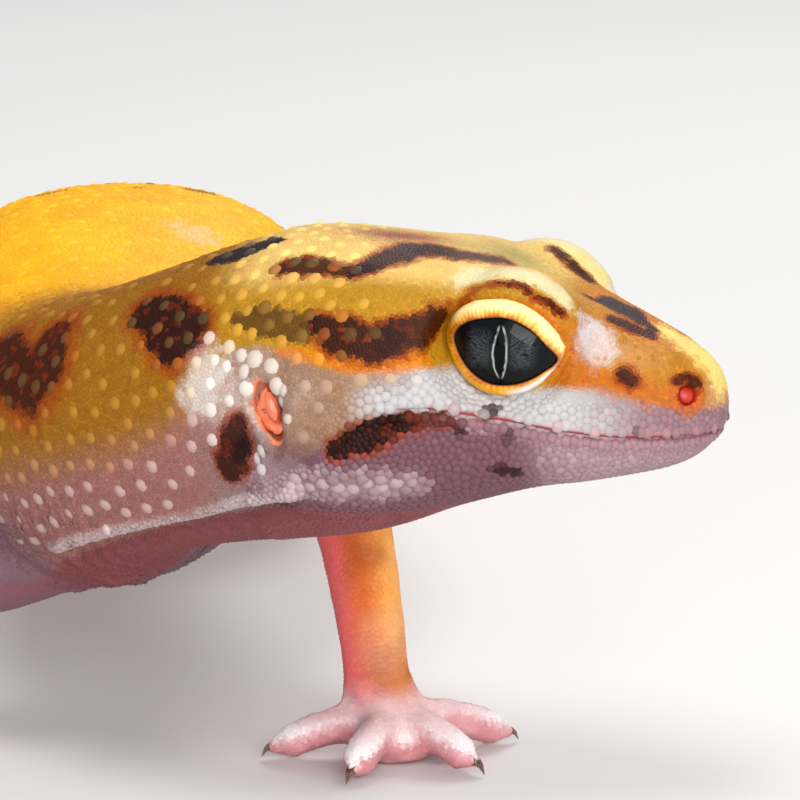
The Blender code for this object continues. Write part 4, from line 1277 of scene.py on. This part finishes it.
def make_lid(side, hand):
    """One lid rim: a profile carried round the opening."""
    centre, ahead, up, out = eye_frame(hand)
    path = closed_curve(OPENING, LID_STEPS)
    along = np.roll(path, -1, axis=0) - np.roll(path, 1, axis=0)
    away = np.stack([along[:, 1], -along[:, 0]], axis=1)
    away /= np.linalg.norm(away, axis=1)[:, None]
    away *= np.sign((away * (path - path.mean(axis=0))).sum(axis=1))[:, None]
    width = lid_width(path)
    profile = [(-0.02, -0.30), (0.00, 0.06), (0.07, 0.24), (0.18, 0.36), (0.32, 0.45), (0.48, 0.49),
               (0.64, 0.46), (0.80, 0.37), (0.93, 0.22), (1.02, 0.02), (1.05, -0.30), (0.50, -0.42)]
    local, shares, ridges = [], [], []
    for i, (point, direction, wide) in enumerate(zip(path, away, width)):
        ridge = math.sin(i / len(path) * 2 * math.pi * RIDGES)
        for across, high in profile:
            flat = point + direction * (across * wide)
            rho = min(float(np.linalg.norm(flat)), EYE_RADIUS * 0.999)
            base = math.sqrt(max((EYE_RADIUS + 0.02) ** 2 - rho**2, 0.05))
            slope = base / EYE_RADIUS
            tall = high * (0.40 + 0.60 * min(wide, 1.1))
            if 0.0 <= across < 0.6 and high > 0:
                tall += ridge * 0.016
            spread = flat / max(float(np.linalg.norm(flat)), 1e-6) * tall * (1 - slope) * 0.8
            local.append((flat[0] + spread[0], flat[1] + spread[1], base + tall * max(slope, 0.35)))
            shares.append(across)
            ridges.append(ridge)
    n, m = len(path), len(profile)
    faces = []
    for i in range(n):
        for j in range(m):
            a, b = i * m + j, i * m + (j + 1) % m
            faces.append((a, b, ((i + 1) % n) * m + (j + 1) % m, ((i + 1) % n) * m + j))
    local, shares, ridges = np.array(local), np.array(shares), np.array(ridges)
    points = centre + local[:, :1] * ahead + local[:, 1:2] * up + local[:, 2:] * out
    front, rise = local[:, 0], local[:, 1]
    serrated = shares + 0.05 * ridges + 0.16 * grain(points, 0.45, 52)
    # cream above, golden below and towards the rear; the cream at the top of the roll is partly the lid's
    # colour and partly a painted highlight
    colour = all_over(tone(246, 228, 158), local)
    colour = blend(colour, tone(236, 176, 40), fade(0.9 - rise - 0.35 * front, -0.2, 1.4))
    colour = blend(colour, tone(230, 150, 24), (1 - fade(serrated, 0.30, 0.62)) * 0.85)
    colour = blend(colour, tone(168, 84, 6), (1 - fade(serrated, 0.06, 0.32)) * 0.90)
    colour = blend(colour, tone(226, 218, 210),
                   fade(front, -0.3, 1.0) * fade(-rise, 0.7, 1.5) * fade(shares, 0.22, 0.45))
    front_corner = np.exp(-((front - 3.1) ** 2 + (rise + 0.85) ** 2) / 0.30)
    colour = blend(colour, tone(150, 72, 22), front_corner * 0.85)
    # the inner edge, in the crease where the lid meets the ball, is painted near-black as shade
    colour = blend(colour, tone(20, 10, 6), 1 - fade(shares, -0.01, 0.05))
    colour *= (1 + 0.08 * grain(points, 0.3, 51))[:, None]
    make_piece(f"lid_{side}", points, faces, lid_look, colour)


lid_look = living_material("lid_skin", 0.42, 0.08, 0.45, 0.14, 0.15, 0.10, 0.35)
for side, hand in (("left", 1), ("right", -1)):
    make_lid(side, hand)
print("two lid rims of", LID_STEPS, "steps")

# %% [markdown]
# ## The flesh inside the ears
#
# In the ear's slit lies a small roll of moist, salmon-coloured skin with a rounder lobe at its
# lower end. It is a tube with a wandering radius, half sunk in the bottom of the slit.


# %% Ear flesh
EAR_RADII = (0.28, 0.52, 0.50, 0.52)


def ring_caps(rings, around):
    """A face over the first and the last of some rings of points."""
    last = (rings - 1) * around
    return [tuple(range(around)), tuple(last + k for k in reversed(range(around)))]


def make_ear(side, hand):
    """One roll of flesh in an ear: a tube with rounded ends."""
    line = [(*place, radius) for place, radius in zip(EAR_SLIT, EAR_RADII)]
    path, radii = laid(whole_tree, line, hand, step=0.2)
    outward = leftward * hand
    along = path[-1] - path[0]
    along /= np.linalg.norm(along)
    across = np.cross(along, outward)
    across /= np.linalg.norm(across)
    points, n, m = [], len(path), 16
    for i, (place, radius) in enumerate(zip(path, radii)):
        end = min(i, n - 1 - i) / 3.0
        ripple = 1 + 0.14 * math.sin(i * 1.1 + 1.0)
        size = radius * math.sqrt(max(1 - (1 - min(end, 1)) ** 2, 0.02)) * ripple
        for k in range(m):
            turn = 2 * math.pi * k / m
            points.append(place + across * (size * math.cos(turn))
                          + outward * (size * math.sin(turn) * 0.7 - 0.24))
    faces = [(i * m + k, i * m + (k + 1) % m, (i + 1) * m + (k + 1) % m, (i + 1) * m + k)
             for i in range(n - 1) for k in range(m)]
    points = np.array(points)
    colour = blend(all_over(SALMON, points), tone(200, 94, 64), 0.3 + 0.7 * grain(points, 0.35, 71))
    make_piece(f"ear_flesh_{side}", points, faces + ring_caps(n, m), flesh_look, colour)


flesh_look = living_material("moist_flesh", 0.34, 0.06, 0.4, 0.12, 0.2, 0.14, 0.45)
print("flesh material", flesh_look.name)

# %% [markdown]
# ## The roll in each nostril
#
# A moist red fold fills most of a gecko's nostril. A flattened ball, half sunk in the pit, reads
# as such a fold. It needs directions along the skin, and the same helper will set the scales.


# %% Nostril flesh
ROLL_RADIUS, ROLL_HEIGHT, ROLL_SINK = 0.58, 0.34, 0.27


def tangent_pair(normal):
    """Two directions along the skin at each point."""
    helper = np.where(np.abs(normal[:, 2:]) < 0.9, [[0.0, 0.0, 1.0]], [[1.0, 0.0, 0.0]])
    first = np.cross(helper, normal)
    first /= np.linalg.norm(first, axis=1)[:, None]
    return first, np.cross(normal, first)


def make_nostril(side, hand):
    """One red roll: a flattened ball half sunk in the pit."""
    centre = laid(whole_tree, NOSTRIL, hand)[0][0]
    found = skin_tree.find_nearest(centre)
    outward = np.array(skin_normal[skin_triangles[found[2]]].mean(axis=0))
    outward /= np.linalg.norm(outward)
    first, second = (v[0] for v in tangent_pair(outward[None]))
    rings, around = 10, 20
    points, faces = [], []
    for i in range(rings + 1):
        polar = math.pi * i / rings
        wide = ROLL_RADIUS * max(math.sin(polar), 0.02)
        for k in range(around):
            turn = 2 * math.pi * k / around
            points.append(centre + first * (wide * math.cos(turn)) + second * (wide * math.sin(turn) * 0.92)
                          + outward * (ROLL_HEIGHT * math.cos(polar) - ROLL_SINK))
    for i in range(rings):
        for k in range(around):
            j = (k + 1) % around
            faces.append((i * around + k, (i + 1) * around + k, (i + 1) * around + j, i * around + j))
    points = np.array(points)
    colour = blend(all_over(RED, points), tone(196, 60, 40), 0.3 + 0.6 * grain(points, 0.4, 73))
    make_piece(f"nostril_flesh_{side}", points, faces + ring_caps(rings + 1, around), flesh_look,
               colour)


for side, hand in (("left", 1), ("right", -1)):
    make_ear(side, hand)
    make_nostril(side, hand)
print("flesh in both ears and both nostrils")

# %% [markdown]
# ## Where the scales go
#
# Gecko scales are beads of different sizes packed side by side. The packing is found as beads
# settle in a tray: scatter points at random, denser where the scales are small, then let every
# point push its neighbours away and slide back onto the skin, again and again.


# %% Spacing of the scales
def spacing_at(points, kinds):
    """The distance between neighbouring scales, in millimetres."""
    s, side, z = body_places(points).T
    side = np.abs(side)
    gap = np.interp(s, (0, 3, 8, 16, 24, 30, 40, 56, 100, 112, 130, 160, 190, 200),
                    (0.28, 0.26, 0.26, 0.27, 0.27, 0.28, 0.33, 0.46, 0.46, 0.46, 0.50, 0.48, 0.40, 0.34))
    jaw = jaw_height(s)
    lip = np.interp(s, (0, 4, 9, 13, 18, 21), (0.44, 0.50, 0.56, 0.62, 0.64, 0.5))
    near_lip = (1 - fade(np.abs(z - jaw - 0.55), 0.9, 1.5)) * (1 - fade(s, 20.5, 22))
    gap = gap * (1 - near_lip) + lip * near_lip
    below = fade(jaw - z, 0.9, 1.4) * (1 - fade(s, 25.5, 28)) * fade(z, 20.6, 21.4)
    gap = gap * (1 - below) + np.interp(s, (0, 6, 12, 20, 25), (0.42, 0.46, 0.48, 0.48, 0.42)) * below
    beard = np.exp(-((z - 23.2) / 0.6) ** 2) * fade(s, 11, 14) * (1 - fade(s, 23.5, 25.5)) * (side > 6)
    gap = gap + 0.26 * beard
    throat = fade(np.interp(s, (0, 12, 24, 34, 44), (22.2, 21.4, 20.8, 17.4, 13.0)) - z, 0.0, 0.6)
    gap = np.where(s < 46, gap * (1 - throat) + 0.34 * throat, gap)
    gap = np.where(np.isin(kinds, LIMBS), 0.38, gap)
    return np.where(np.char.startswith(kinds, "foot"), 0.30, gap)


skin_spacing = spacing_at(skin_points, kind_of)
print("spacing", skin_spacing.min().round(2), "to", skin_spacing.max().round(2), "mm")


# %% Scatter and settle
def bare_zone(points):
    """True where no scale grows: lids, nostrils, ears, mouth line and soles."""
    bare = points[:, 2] < 0.10
    for hand in (1, -1):
        for line, width in ((NOSTRIL, 0.66), (MOUTH[:10], 0.24), (EAR_SLIT, 0.62)):
            path, radii = laid(whole_tree, line, hand)
            bare |= stroke_gap(points, path, radii, 1.2)[0] < width
        _, near, gap = beyond_lid(points, hand, 5.2)
        bare |= near & (gap < 0.04)
    return bare


def scatter(density):
    """Random points on the skin, with the wanted number per square millimetre."""
    a, b, c = (skin_points[skin_triangles[:, k]] for k in range(3))
    area = np.linalg.norm(np.cross(b - a, c - a), axis=1) / 2
    wanted = area * density[skin_triangles].mean(axis=1)
    total = int(wanted.sum())
    pick = chance.choice(len(wanted), size=total, p=wanted / wanted.sum())
    u, v = chance.random(total), chance.random(total)
    over = u + v > 1
    u[over], v[over] = 1 - u[over], 1 - v[over]
    return a[pick] + (b - a)[pick] * u[:, None] + (c - a)[pick] * v[:, None], pick


def finder(points):
    """A tree that finds the nearest of many points quickly."""
    tree = KDTree(len(points))
    for i, p in enumerate(points):
        tree.insert(p, i)
    tree.balance()
    return tree


def neighbours(points, count):
    """The nearest points of each point, itself first."""
    tree = finder(points)
    return np.array([[hit[1] for hit in tree.find_n(p, count)] for p in points])


def onto_skin(points):
    """The nearest places on the skin, and the triangle of each."""
    found = [skin_tree.find_nearest(p) for p in points]
    return np.array([hit[0] for hit in found]), np.array([hit[2] for hit in found])


ROUNDS = 12
WATCHED = 8      # neighbours looked for, the bead itself among them
PRESS = 1.08     # beads push until they are this share of their spacing apart
NUDGE = 0.30     # the share of a push that is taken in one round


def settle(points, which, spacing_of, rounds):
    """Pushes close neighbours apart until the beads lie evenly."""
    for step in range(rounds):
        if step % 3 == 0:
            near = neighbours(points, WATCHED)[:, 1:]
        space = spacing_of[skin_triangles[which]].mean(axis=1)
        apart = points[:, None] - points[near]
        gap = np.linalg.norm(apart, axis=2)
        wanted = (space[:, None] + space[near]) / 2 * PRESS
        push = np.maximum(wanted - gap, 0.0) / np.maximum(gap, 1e-6)
        points = points + (apart * push[..., None]).sum(axis=1) * NUDGE
        points, which = onto_skin(points)
    return points, which


HONEYCOMB = 0.866    # in an even packing one bead takes this share of its spacing squared
BEAD_FILL, KNOB_FILL = 1.10, 0.92    # beads are a little crowded, knobs a little sparse
beads, bead_face = scatter(BEAD_FILL / (HONEYCOMB * skin_spacing**2))
print("scattered", len(beads), "beads")
beads, bead_face = settle(beads, bead_face, skin_spacing, ROUNDS)
print("settled", len(beads), "beads")

# %% [markdown]
# ## Tubercles
#
# Between the small beads stand larger knobs, the tubercles, which give leopard geckos their
# bumpy back. They keep a distance of one and a half to two and a half millimetres from each
# other, and the small beads under them are taken away. The knobs behind the eye, round the ear
# and in a row along the lower jaw are given in a list.


# %% Places of the tubercles
def tubercle_weight(points, kinds):
    """1 where tubercles grow, 0 where they don't."""
    s, _, z = body_places(points).T
    border = border_height(s)
    back = fade(s, 18.0, 20.5) * fade(z - border, -5.6, -4.2)
    low = np.interp(s, (112, 122, 132, 144, 172, 200), (14, 9, 5, 3.6, 2.4, 0.2))
    tail = np.char.startswith(kinds, "tail") * fade(z - low, 0, 1)
    legs = np.isin(kinds, [n for n in LIMBS if n.split("_")[0] in ("thigh", "shin")])
    crown_free = 1 - (1 - fade(s, 20, 22)) * fade(z, 33.6, 34.6)
    lip_free = fade(s, 21.5, 23) + fade(z - border, -0.8, -0.2)
    back = back * crown_free * np.clip(lip_free, 0, 1)
    return np.where(legs, fade(z, 5.5, 8), np.where(np.isin(kinds, LIMBS), 0, np.where(s > 112, tail, back)))


CHOSEN = (
    # station, side, height, radius
    (22.3, -10.3, 29.0, 0.42), (20.2, -10.3, 29.5, 0.42), (18.5, -10.0, 29.6, 0.34), (17.0, -9.6, 29.5, 0.30),
    (26.7, -9.0, 30.2, 0.52), (25.7, -9.3, 29.9, 0.46), (27.2, -8.9, 29.4, 0.42), (25.3, -9.6, 28.8, 0.46),
    (25.1, -9.6, 27.8, 0.42), (26.1, -9.9, 24.9, 0.40), (26.2, -9.5, 23.7, 0.38), (24.4, -10.2, 27.0, 0.30),
    (26.4, -9.3, 24.3, 0.34), (24.9, -9.9, 28.6, 0.34), (27.5, -8.8, 30.4, 0.38), (28.2, -8.6, 29.6, 0.34),
)
BEARD = np.arange(18.2, 24.6, 0.86)
CHOSEN += tuple((s, -9.9 + 0.16 * max(19.5 - s, 0), 23.15 + 0.26 * math.sin(s * 2.9),
                 (0.25 + 0.11 * fade(s, 15, 20)) * (1 + 0.14 * math.sin(s * 5.3))) for s in BEARD)
knob_spacing = np.interp(places[:, 0], (17, 22, 30, 44, 56, 108, 118, 190),
                         (1.5, 1.45, 1.6, 1.9, 2.4, 2.4, 2.0, 1.7))
grow = tubercle_weight(skin_points, kind_of)
knobs, knob_face = scatter(np.where(grow > 0.5, KNOB_FILL / (HONEYCOMB * knob_spacing**2), 0.0))
knobs, knob_face = settle(knobs, knob_face, knob_spacing, ROUNDS)
keep = (grow[skin_triangles[knob_face]].mean(axis=1) > 0.5) & ~bare_zone(knobs)
knobs, knob_face = knobs[keep], knob_face[keep]
knob_s = body_places(knobs)[:, 0]
knob_size = np.interp(knob_s, (17, 21, 26, 34, 46, 60, 108, 120, 160, 198),
                      (0.32, 0.36, 0.38, 0.36, 0.40, 0.50, 0.50, 0.50, 0.42, 0.20))
knob_size = knob_size * (1 + 0.18 * grain(knobs, 0.9, 61))
set_spots, set_face = onto_skin(np.array([
    world_point(s, side * -hand, z) for hand in (1, -1) for s, side, z, _ in CHOSEN]))
set_size = np.array([row[3] for row in CHOSEN] * 2)
HAND_SET_ROOM = 0.95    # knobs nearer than this to a listed one make way
tree = finder(set_spots)
clear = np.array([tree.find(p)[2] > HAND_SET_ROOM for p in knobs])
knobs = np.concatenate((knobs[clear], set_spots))
knob_face = np.concatenate((knob_face[clear], set_face))
knob_size = np.concatenate((knob_size[clear], set_size))
print(len(knobs), "tubercles,", len(set_spots), "of them set by hand")


# %% Sizes and clearing
RADIUS_SHARE = 0.74    # a bead's radius, as a share of the distance to its neighbours
KNOB_REACH, KNOB_MARGIN = 1.06, 0.06
bare = bare_zone(beads)
tree = finder(knobs)
nearest = [tree.find(p) for p in beads]
under = np.array([hit[2] < knob_size[hit[1]] * KNOB_REACH + KNOB_MARGIN for hit in nearest])
beads, bead_face = beads[~bare & ~under], bead_face[~bare & ~under]
bead_space = skin_spacing[skin_triangles[bead_face]].mean(axis=1)
near = neighbours(beads, 6)[:, 1:]
bead_gap = np.linalg.norm(beads[:, None] - beads[near], axis=2).mean(axis=1)
bead_radius = np.clip(bead_gap, 0.7 * bead_space, 1.05 * bead_space) * RADIUS_SHARE
print(len(beads), "scales left, mean radius", bead_radius.mean().round(3), "mm")

# %% [markdown]
# ## The shape of a scale
#
# Each scale is a low dome with its edge just under the skin, closed below, so that it is a solid
# bead and not a disc. Neighbours touch and share a shallow crease, as paving stones do. The rim is
# marked sharp, so that smooth shading doesn't round the dome over into its underside. A small
# scale needs only a ring of six points and a top. Lip scales get a flat top with a second ring,
# and the knobs get three rings, because their round shape can be seen.


# %% Dome templates
def dome_template(around, rings, sink):
    """Points of a unit dome, and its triangles. rings are (radius, height) from the rim up."""
    points, faces = [(0.0, 0.0, -sink)], []
    for radius, height in rings:
        for k in range(around):
            turn = 2 * math.pi * k / around
            points.append((radius * math.cos(turn), radius * math.sin(turn), height))
    points.append((0.0, 0.0, 1.0))
    top = len(points) - 1
    for k in range(around):
        j = (k + 1) % around
        faces.append((0, 1 + j, 1 + k))
        for i in range(len(rings) - 1):
            a, b = 1 + i * around, 1 + (i + 1) * around
            faces += [(a + k, a + j, b + j), (a + k, b + j, b + k)]
        last = 1 + (len(rings) - 1) * around
        faces.append((last + k, last + j, top))
    return np.array(points), np.array(faces)


BEAD = dome_template(6, ((1.0, -0.30),), 1.0)
FLAT_BEAD = dome_template(7, ((1.0, -0.30), (0.62, 0.68)), 0.9)
KNOB = dome_template(9, ((1.22, -0.12), (0.84, 0.42), (0.50, 0.82)), 0.5)
print("triangles per bead", len(BEAD[1]), "flat bead", len(FLAT_BEAD[1]), "knob", len(KNOB[1]))


# %% Fill a mesh with domes
PATCH = 0.0014    # half the width of one scale's patch on the unwrap
FULL_TURN = 6.283    # in radians


def tangent_frames(normal, turn):
    """Two directions along the skin at each point, turned by the given angles."""
    first, second = tangent_pair(normal)
    c, s = np.cos(turn)[:, None], np.sin(turn)[:, None]
    return first * c + second * s, second * c - first * s


def unwrap(points, kinds):
    """Where the skin at each point lies on a flat unwrap: the body above, the legs below."""
    where = body_places(points)
    middle = np.interp(where[:, 0], (0, 30, 46, 100, 120, 140, 200), (26, 25, 21, 20, 14, 6, 0.5))
    turn = np.arctan2(where[:, 1], middle - where[:, 2]) / (2 * np.pi) + 0.5
    flat = np.stack([where[:, 0] / 206 + 0.01, 0.42 + turn * 0.57], axis=1)
    corner_of = {"front_left": 0, "front_right": 1, "hind_left": 2, "hind_right": 3}
    for name in LIMBS:
        pair = "front" if name.startswith(("upper", "forearm", "foot_front")) else "hind"
        tile = corner_of[f"{pair}_{name.split('_')[-1]}"]
        mine = kinds == name
        station, across = (52.0, 9.0) if pair == "front" else (103.0, 8.0)
        root = world_point(station, across * (1 if name.endswith("left") else -1), 16.0)
        out = points[mine] - root
        reach = np.linalg.norm(out, axis=1)
        turn = np.arctan2(out[:, 1], out[:, 0]) / (2 * np.pi) + 0.5
        flat[mine] = np.stack([tile * 0.25 + 0.01 + turn * 0.23,
                               0.01 + np.clip(reach / 44, 0, 1) * 0.39], axis=1)
    return flat


def dome_mesh(name, template, spots, normal, radius, height, colour, flat, edge):
    """One mesh of many domes, each with its colour, its rim painted darker by edge as painted shade in the
    creases, and its own small patch of the unwrap.
    """
    shape, faces = template
    first, second = tangent_frames(normal, chance.random(len(spots)) * FULL_TURN)
    n, m = len(spots), len(shape)
    wide = radius[:, None, None]
    points = (spots[:, None] + first[:, None] * shape[None, :, :1] * wide
              + second[:, None] * shape[None, :, 1:2] * wide
              + normal[:, None] * shape[None, :, 2:] * height[:, None, None])
    points[..., 2] = np.maximum(points[..., 2], 0.005)
    corners = (faces[None] + (np.arange(n) * m)[:, None, None]).reshape(-1, 3)
    data = bpy.data.meshes.new(name)
    data.vertices.add(n * m)
    data.vertices.foreach_set("co", (points.reshape(-1, 3) * MM).astype(np.float32).ravel())
    data.loops.add(len(corners) * 3)
    data.loops.foreach_set("vertex_index", corners.astype(np.int32).ravel())
    data.polygons.add(len(corners))
    data.polygons.foreach_set("loop_start", np.arange(0, len(corners) * 3, 3, dtype=np.int32))
    data.update(calc_edges=True)
    # the rims are darkened by edge: painted shade in the creases between the scales
    shade = np.where(shape[:, 2] < 0.2, edge, 1.0)
    set_tone(data, np.clip((colour[:, None] * shade[None, :, None]).reshape(-1, 3), 0, 1))
    patch = flat[:, None] + shape[None, :, :2] * PATCH
    layer = data.uv_layers.new(name="OFBake")
    layer.data.foreach_set("uv", patch.reshape(-1, 2)[corners.ravel()].astype(np.float32).ravel())
    data.shade_smooth()
    ring = edges_of(data) % m
    on_rim = ((ring >= 1) & (np.abs(shape[ring, 2] - shape[1, 2]) < 1e-6)).all(axis=1)
    data.edges.foreach_set("use_edge_sharp", on_rim)
    data.materials.append(scale_look)
    made = add_object(name, data)
    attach(made, "root")
    return made


def normals_at(which):
    """The skin's smooth normal at the middle of known triangles."""
    mean = skin_normal[skin_triangles[which]].mean(axis=1)
    return mean / np.linalg.norm(mean, axis=1)[:, None]


print("sharp rims at height", BEAD[0][1, 2], "of a bead")

# %% [markdown]
# ## Colour of each scale
#
# Every scale takes one colour, the pattern's colour at its root, made a little lighter or darker
# at random. On the jaw the scales are paler than the skin between them, which is what makes them
# look like beads on cloth.


# %% Colour the scales
def bead_colours(spots, normal, kinds):
    """The pattern's colour at each scale, varied at random and paler on some of the jaw."""
    jitter = 0.16 * chance.standard_normal(len(spots))
    colour = gecko_colour(spots, normal, kinds, jitter)
    s, _, z = body_places(spots).T
    on_legs = np.isin(kinds, LIMBS)
    jaw = jaw_height(s)
    spread = np.where((colour.sum(axis=1) > 1.2) | on_legs, 0.03, 0.08)
    spread = np.where((z < jaw) & (s < HEAD_END), 0.03, spread)
    colour = colour * np.clip(1 + spread * chance.standard_normal(len(spots)), 0.75, 1.25)[:, None]
    pale = fade(jaw - z, 0.1, 0.8) * (1 - fade(s, 25, 30)) * fade(z, 21.0, 22.0)
    bright = (colour.sum(axis=1) > 0.45) & ~on_legs
    colour = colour * np.where(on_legs, 1.0, 1 - 0.11 * (1 - fade(s, 30, 50)))[:, None]
    lifted = 0.06 + 0.20 * fade(chance.random(len(spots)), 0.5, 1)
    colour = blend(colour, tone(190, 168, 174), pale * lifted * bright)
    return np.clip(colour, 0, 1)


def knob_colours(spots, normal, kinds):
    """The pattern's colour at each tubercle, moved towards a paler one: partly the knobs' own white, partly a
    painted highlight.
    """
    colour = gecko_colour(spots, normal, kinds)
    s, _, z = body_places(spots).T
    border = border_height(s)
    # white round the ear, on the beard row and low on the neck is the knobs' own colour; the small share
    # elsewhere is a painted highlight
    pale_and_highlight = np.where((z < border - 0.9)[:, None], tone(206, 190, 184), tone(222, 190, 104))
    white = (s > 24.5) & (s < 29.5) & (z < 31)
    pale_and_highlight = np.where(white[:, None], tone(226, 222, 216), pale_and_highlight)
    dark = fade(0.75 - colour.sum(axis=1), 0.0, 0.4)
    beard = (s < 24.5) & (z < 24.5)
    low_neck = 0.26 * fade(border - z, 0.6, 2.0) * fade(s, 27, 30)
    share = np.where(white, 0.46, np.where(beard, 0.30, 0.12 - 0.06 * dark + low_neck))
    return np.clip(blend(colour, pale_and_highlight, share * (1 - 0.80 * fade(s, 40, 50))), 0, 1)


bead_kind = kind_of[skin_triangles[bead_face][:, 0]]
bead_normal = normals_at(bead_face)
bead_tone = bead_colours(beads, bead_normal, bead_kind)
knob_kind = kind_of[skin_triangles[knob_face][:, 0]]
knob_normal = normals_at(knob_face)
knob_tone = knob_colours(knobs, knob_normal, knob_kind)
print("colours for", len(bead_tone), "scales and", len(knob_tone), "tubercles")

# %% Set the scales
bead_station, _, bead_rise = body_places(beads).T
bead_flat = unwrap(beads, bead_kind)
bead_height = bead_radius * np.interp(bead_station, (0, 12, 20, 40, 60, 112, 200),
                                      (0.32, 0.34, 0.42, 0.46, 0.38, 0.42, 0.44))
crown = fade(bead_rise, 33.5, 34.8) * (bead_station < 30)
bead_height = bead_height * (1 - 0.35 * crown)
limb_bead = np.isin(bead_kind, LIMBS)
foot_bead = np.char.startswith(bead_kind, "foot")
bead_height = np.where(limb_bead, bead_radius * np.where(foot_bead, 0.18, 0.22), bead_height)
large = (bead_radius > 0.225) & (bead_station < HEAD_END) & ~limb_bead
small = ~limb_bead & ~large


def between(first, last):
    return (bead_station >= first) & (bead_station < last)


GROUPS = (
    # name, slot, painted shade at the rims, which scales
    ("scales_face", "head_skin", 0.84, small & (bead_station < 13)),
    ("scales_head", "head_skin", 0.82, small & between(13, 26)),
    ("scales_neck", "body_skin", 0.82, small & between(26, 48)),
    ("scales_shoulder", "body_skin", 0.88, ~limb_bead & between(48, 70)),
    ("scales_back", "body_skin", 0.82, ~limb_bead & between(70, 92)),
    ("scales_rump", "body_skin", 0.82, ~limb_bead & between(92, 113)),
    ("scales_tail", "tail_skin", 0.82, ~limb_bead & (bead_station >= 113)),
    ("scales_front_legs", "leg_skin", 0.90, limb_bead & (bead_station < 76)),
    ("scales_hind_legs", "leg_skin", 0.90, limb_bead & (bead_station >= 76)),
)
for name, slot, edge, chosen in GROUPS:
    made = dome_mesh(name, BEAD, beads[chosen], bead_normal[chosen], bead_radius[chosen],
                     bead_height[chosen], bead_tone[chosen], bead_flat[chosen], edge)
    print(name, len(made.data.polygons), "triangles")

made = dome_mesh("scales_jaw", FLAT_BEAD, beads[large], bead_normal[large], bead_radius[large],
                 bead_height[large] * 1.05, bead_tone[large], bead_flat[large], 0.80)
print("scales_jaw", len(made.data.polygons), "triangles")

# %% Set the tubercles
knob_height = knob_size * np.interp(body_places(knobs)[:, 0], (17, 26, 44, 60, 112, 200),
                                    (0.36, 0.42, 0.36, 0.30, 0.55, 0.6))
made = dome_mesh("tubercles", KNOB, knobs, knob_normal, knob_size, knob_height, knob_tone,
                 unwrap(knobs, knob_kind), 0.88)
print("tubercles", len(made.data.polygons), "triangles")

# %% [markdown]
# ## Claws
#
# Each toe ends in a small hooked claw of horn, with dark and paler flecks. The solids already
# have the claws' shape, so they are kept, and a horn material is made for them.


# %% Horn for the claws
def horn_material():
    look, tree, shader = new_look("claw_horn")
    noise = fine_noise(tree, 2600.0)
    ramp = tree.nodes.new("ShaderNodeValToRGB")
    dark, pale = ramp.color_ramp.elements
    dark.position, pale.position = 0.3, 0.75
    dark.color = (0.055, 0.028, 0.020, 1)
    pale.color = (0.22, 0.13, 0.10, 1)
    tree.links.new(noise.outputs["Fac"], ramp.inputs["Fac"])
    tree.links.new(ramp.outputs["Color"], shader.inputs["Base Color"])
    add_relief(tree, noise.outputs["Fac"], shader, 0.2, 0.00003)
    shader.inputs["Roughness"].default_value = 0.3
    return look


claw_look = horn_material()


def give_look(names, look):
    """Puts a material on solids that keep their own shape."""
    for name in names:
        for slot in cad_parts[name].material_slots:
            slot.material = look


give_look(CLAWS, claw_look)
print(len(CLAWS), "claws in", claw_look.name)

# %% [markdown]
# ## The ears' inner skin
#
# The plug at the bottom of each ear opening gets a moist salmon skin of its own.

# %% Eardrum material
drum_look, drum_tree, drum_shader = new_look("eardrum_skin")
drum_noise = drum_tree.nodes.new("ShaderNodeTexNoise")
drum_noise.inputs["Scale"].default_value = 1800.0
drum_ramp = drum_tree.nodes.new("ShaderNodeValToRGB")
drum_ramp.color_ramp.elements[0].color = (*tone(196, 84, 56), 1)
drum_ramp.color_ramp.elements[1].color = (*tone(236, 128, 92), 1)
drum_tree.links.new(drum_noise.outputs["Fac"], drum_ramp.inputs["Fac"])
drum_tree.links.new(drum_ramp.outputs["Color"], drum_shader.inputs["Base Color"])
drum_shader.inputs["Roughness"].default_value = 0.35
give_look(("eardrum_left", "eardrum_right"), drum_look)
print("ear skin in", drum_look.name)
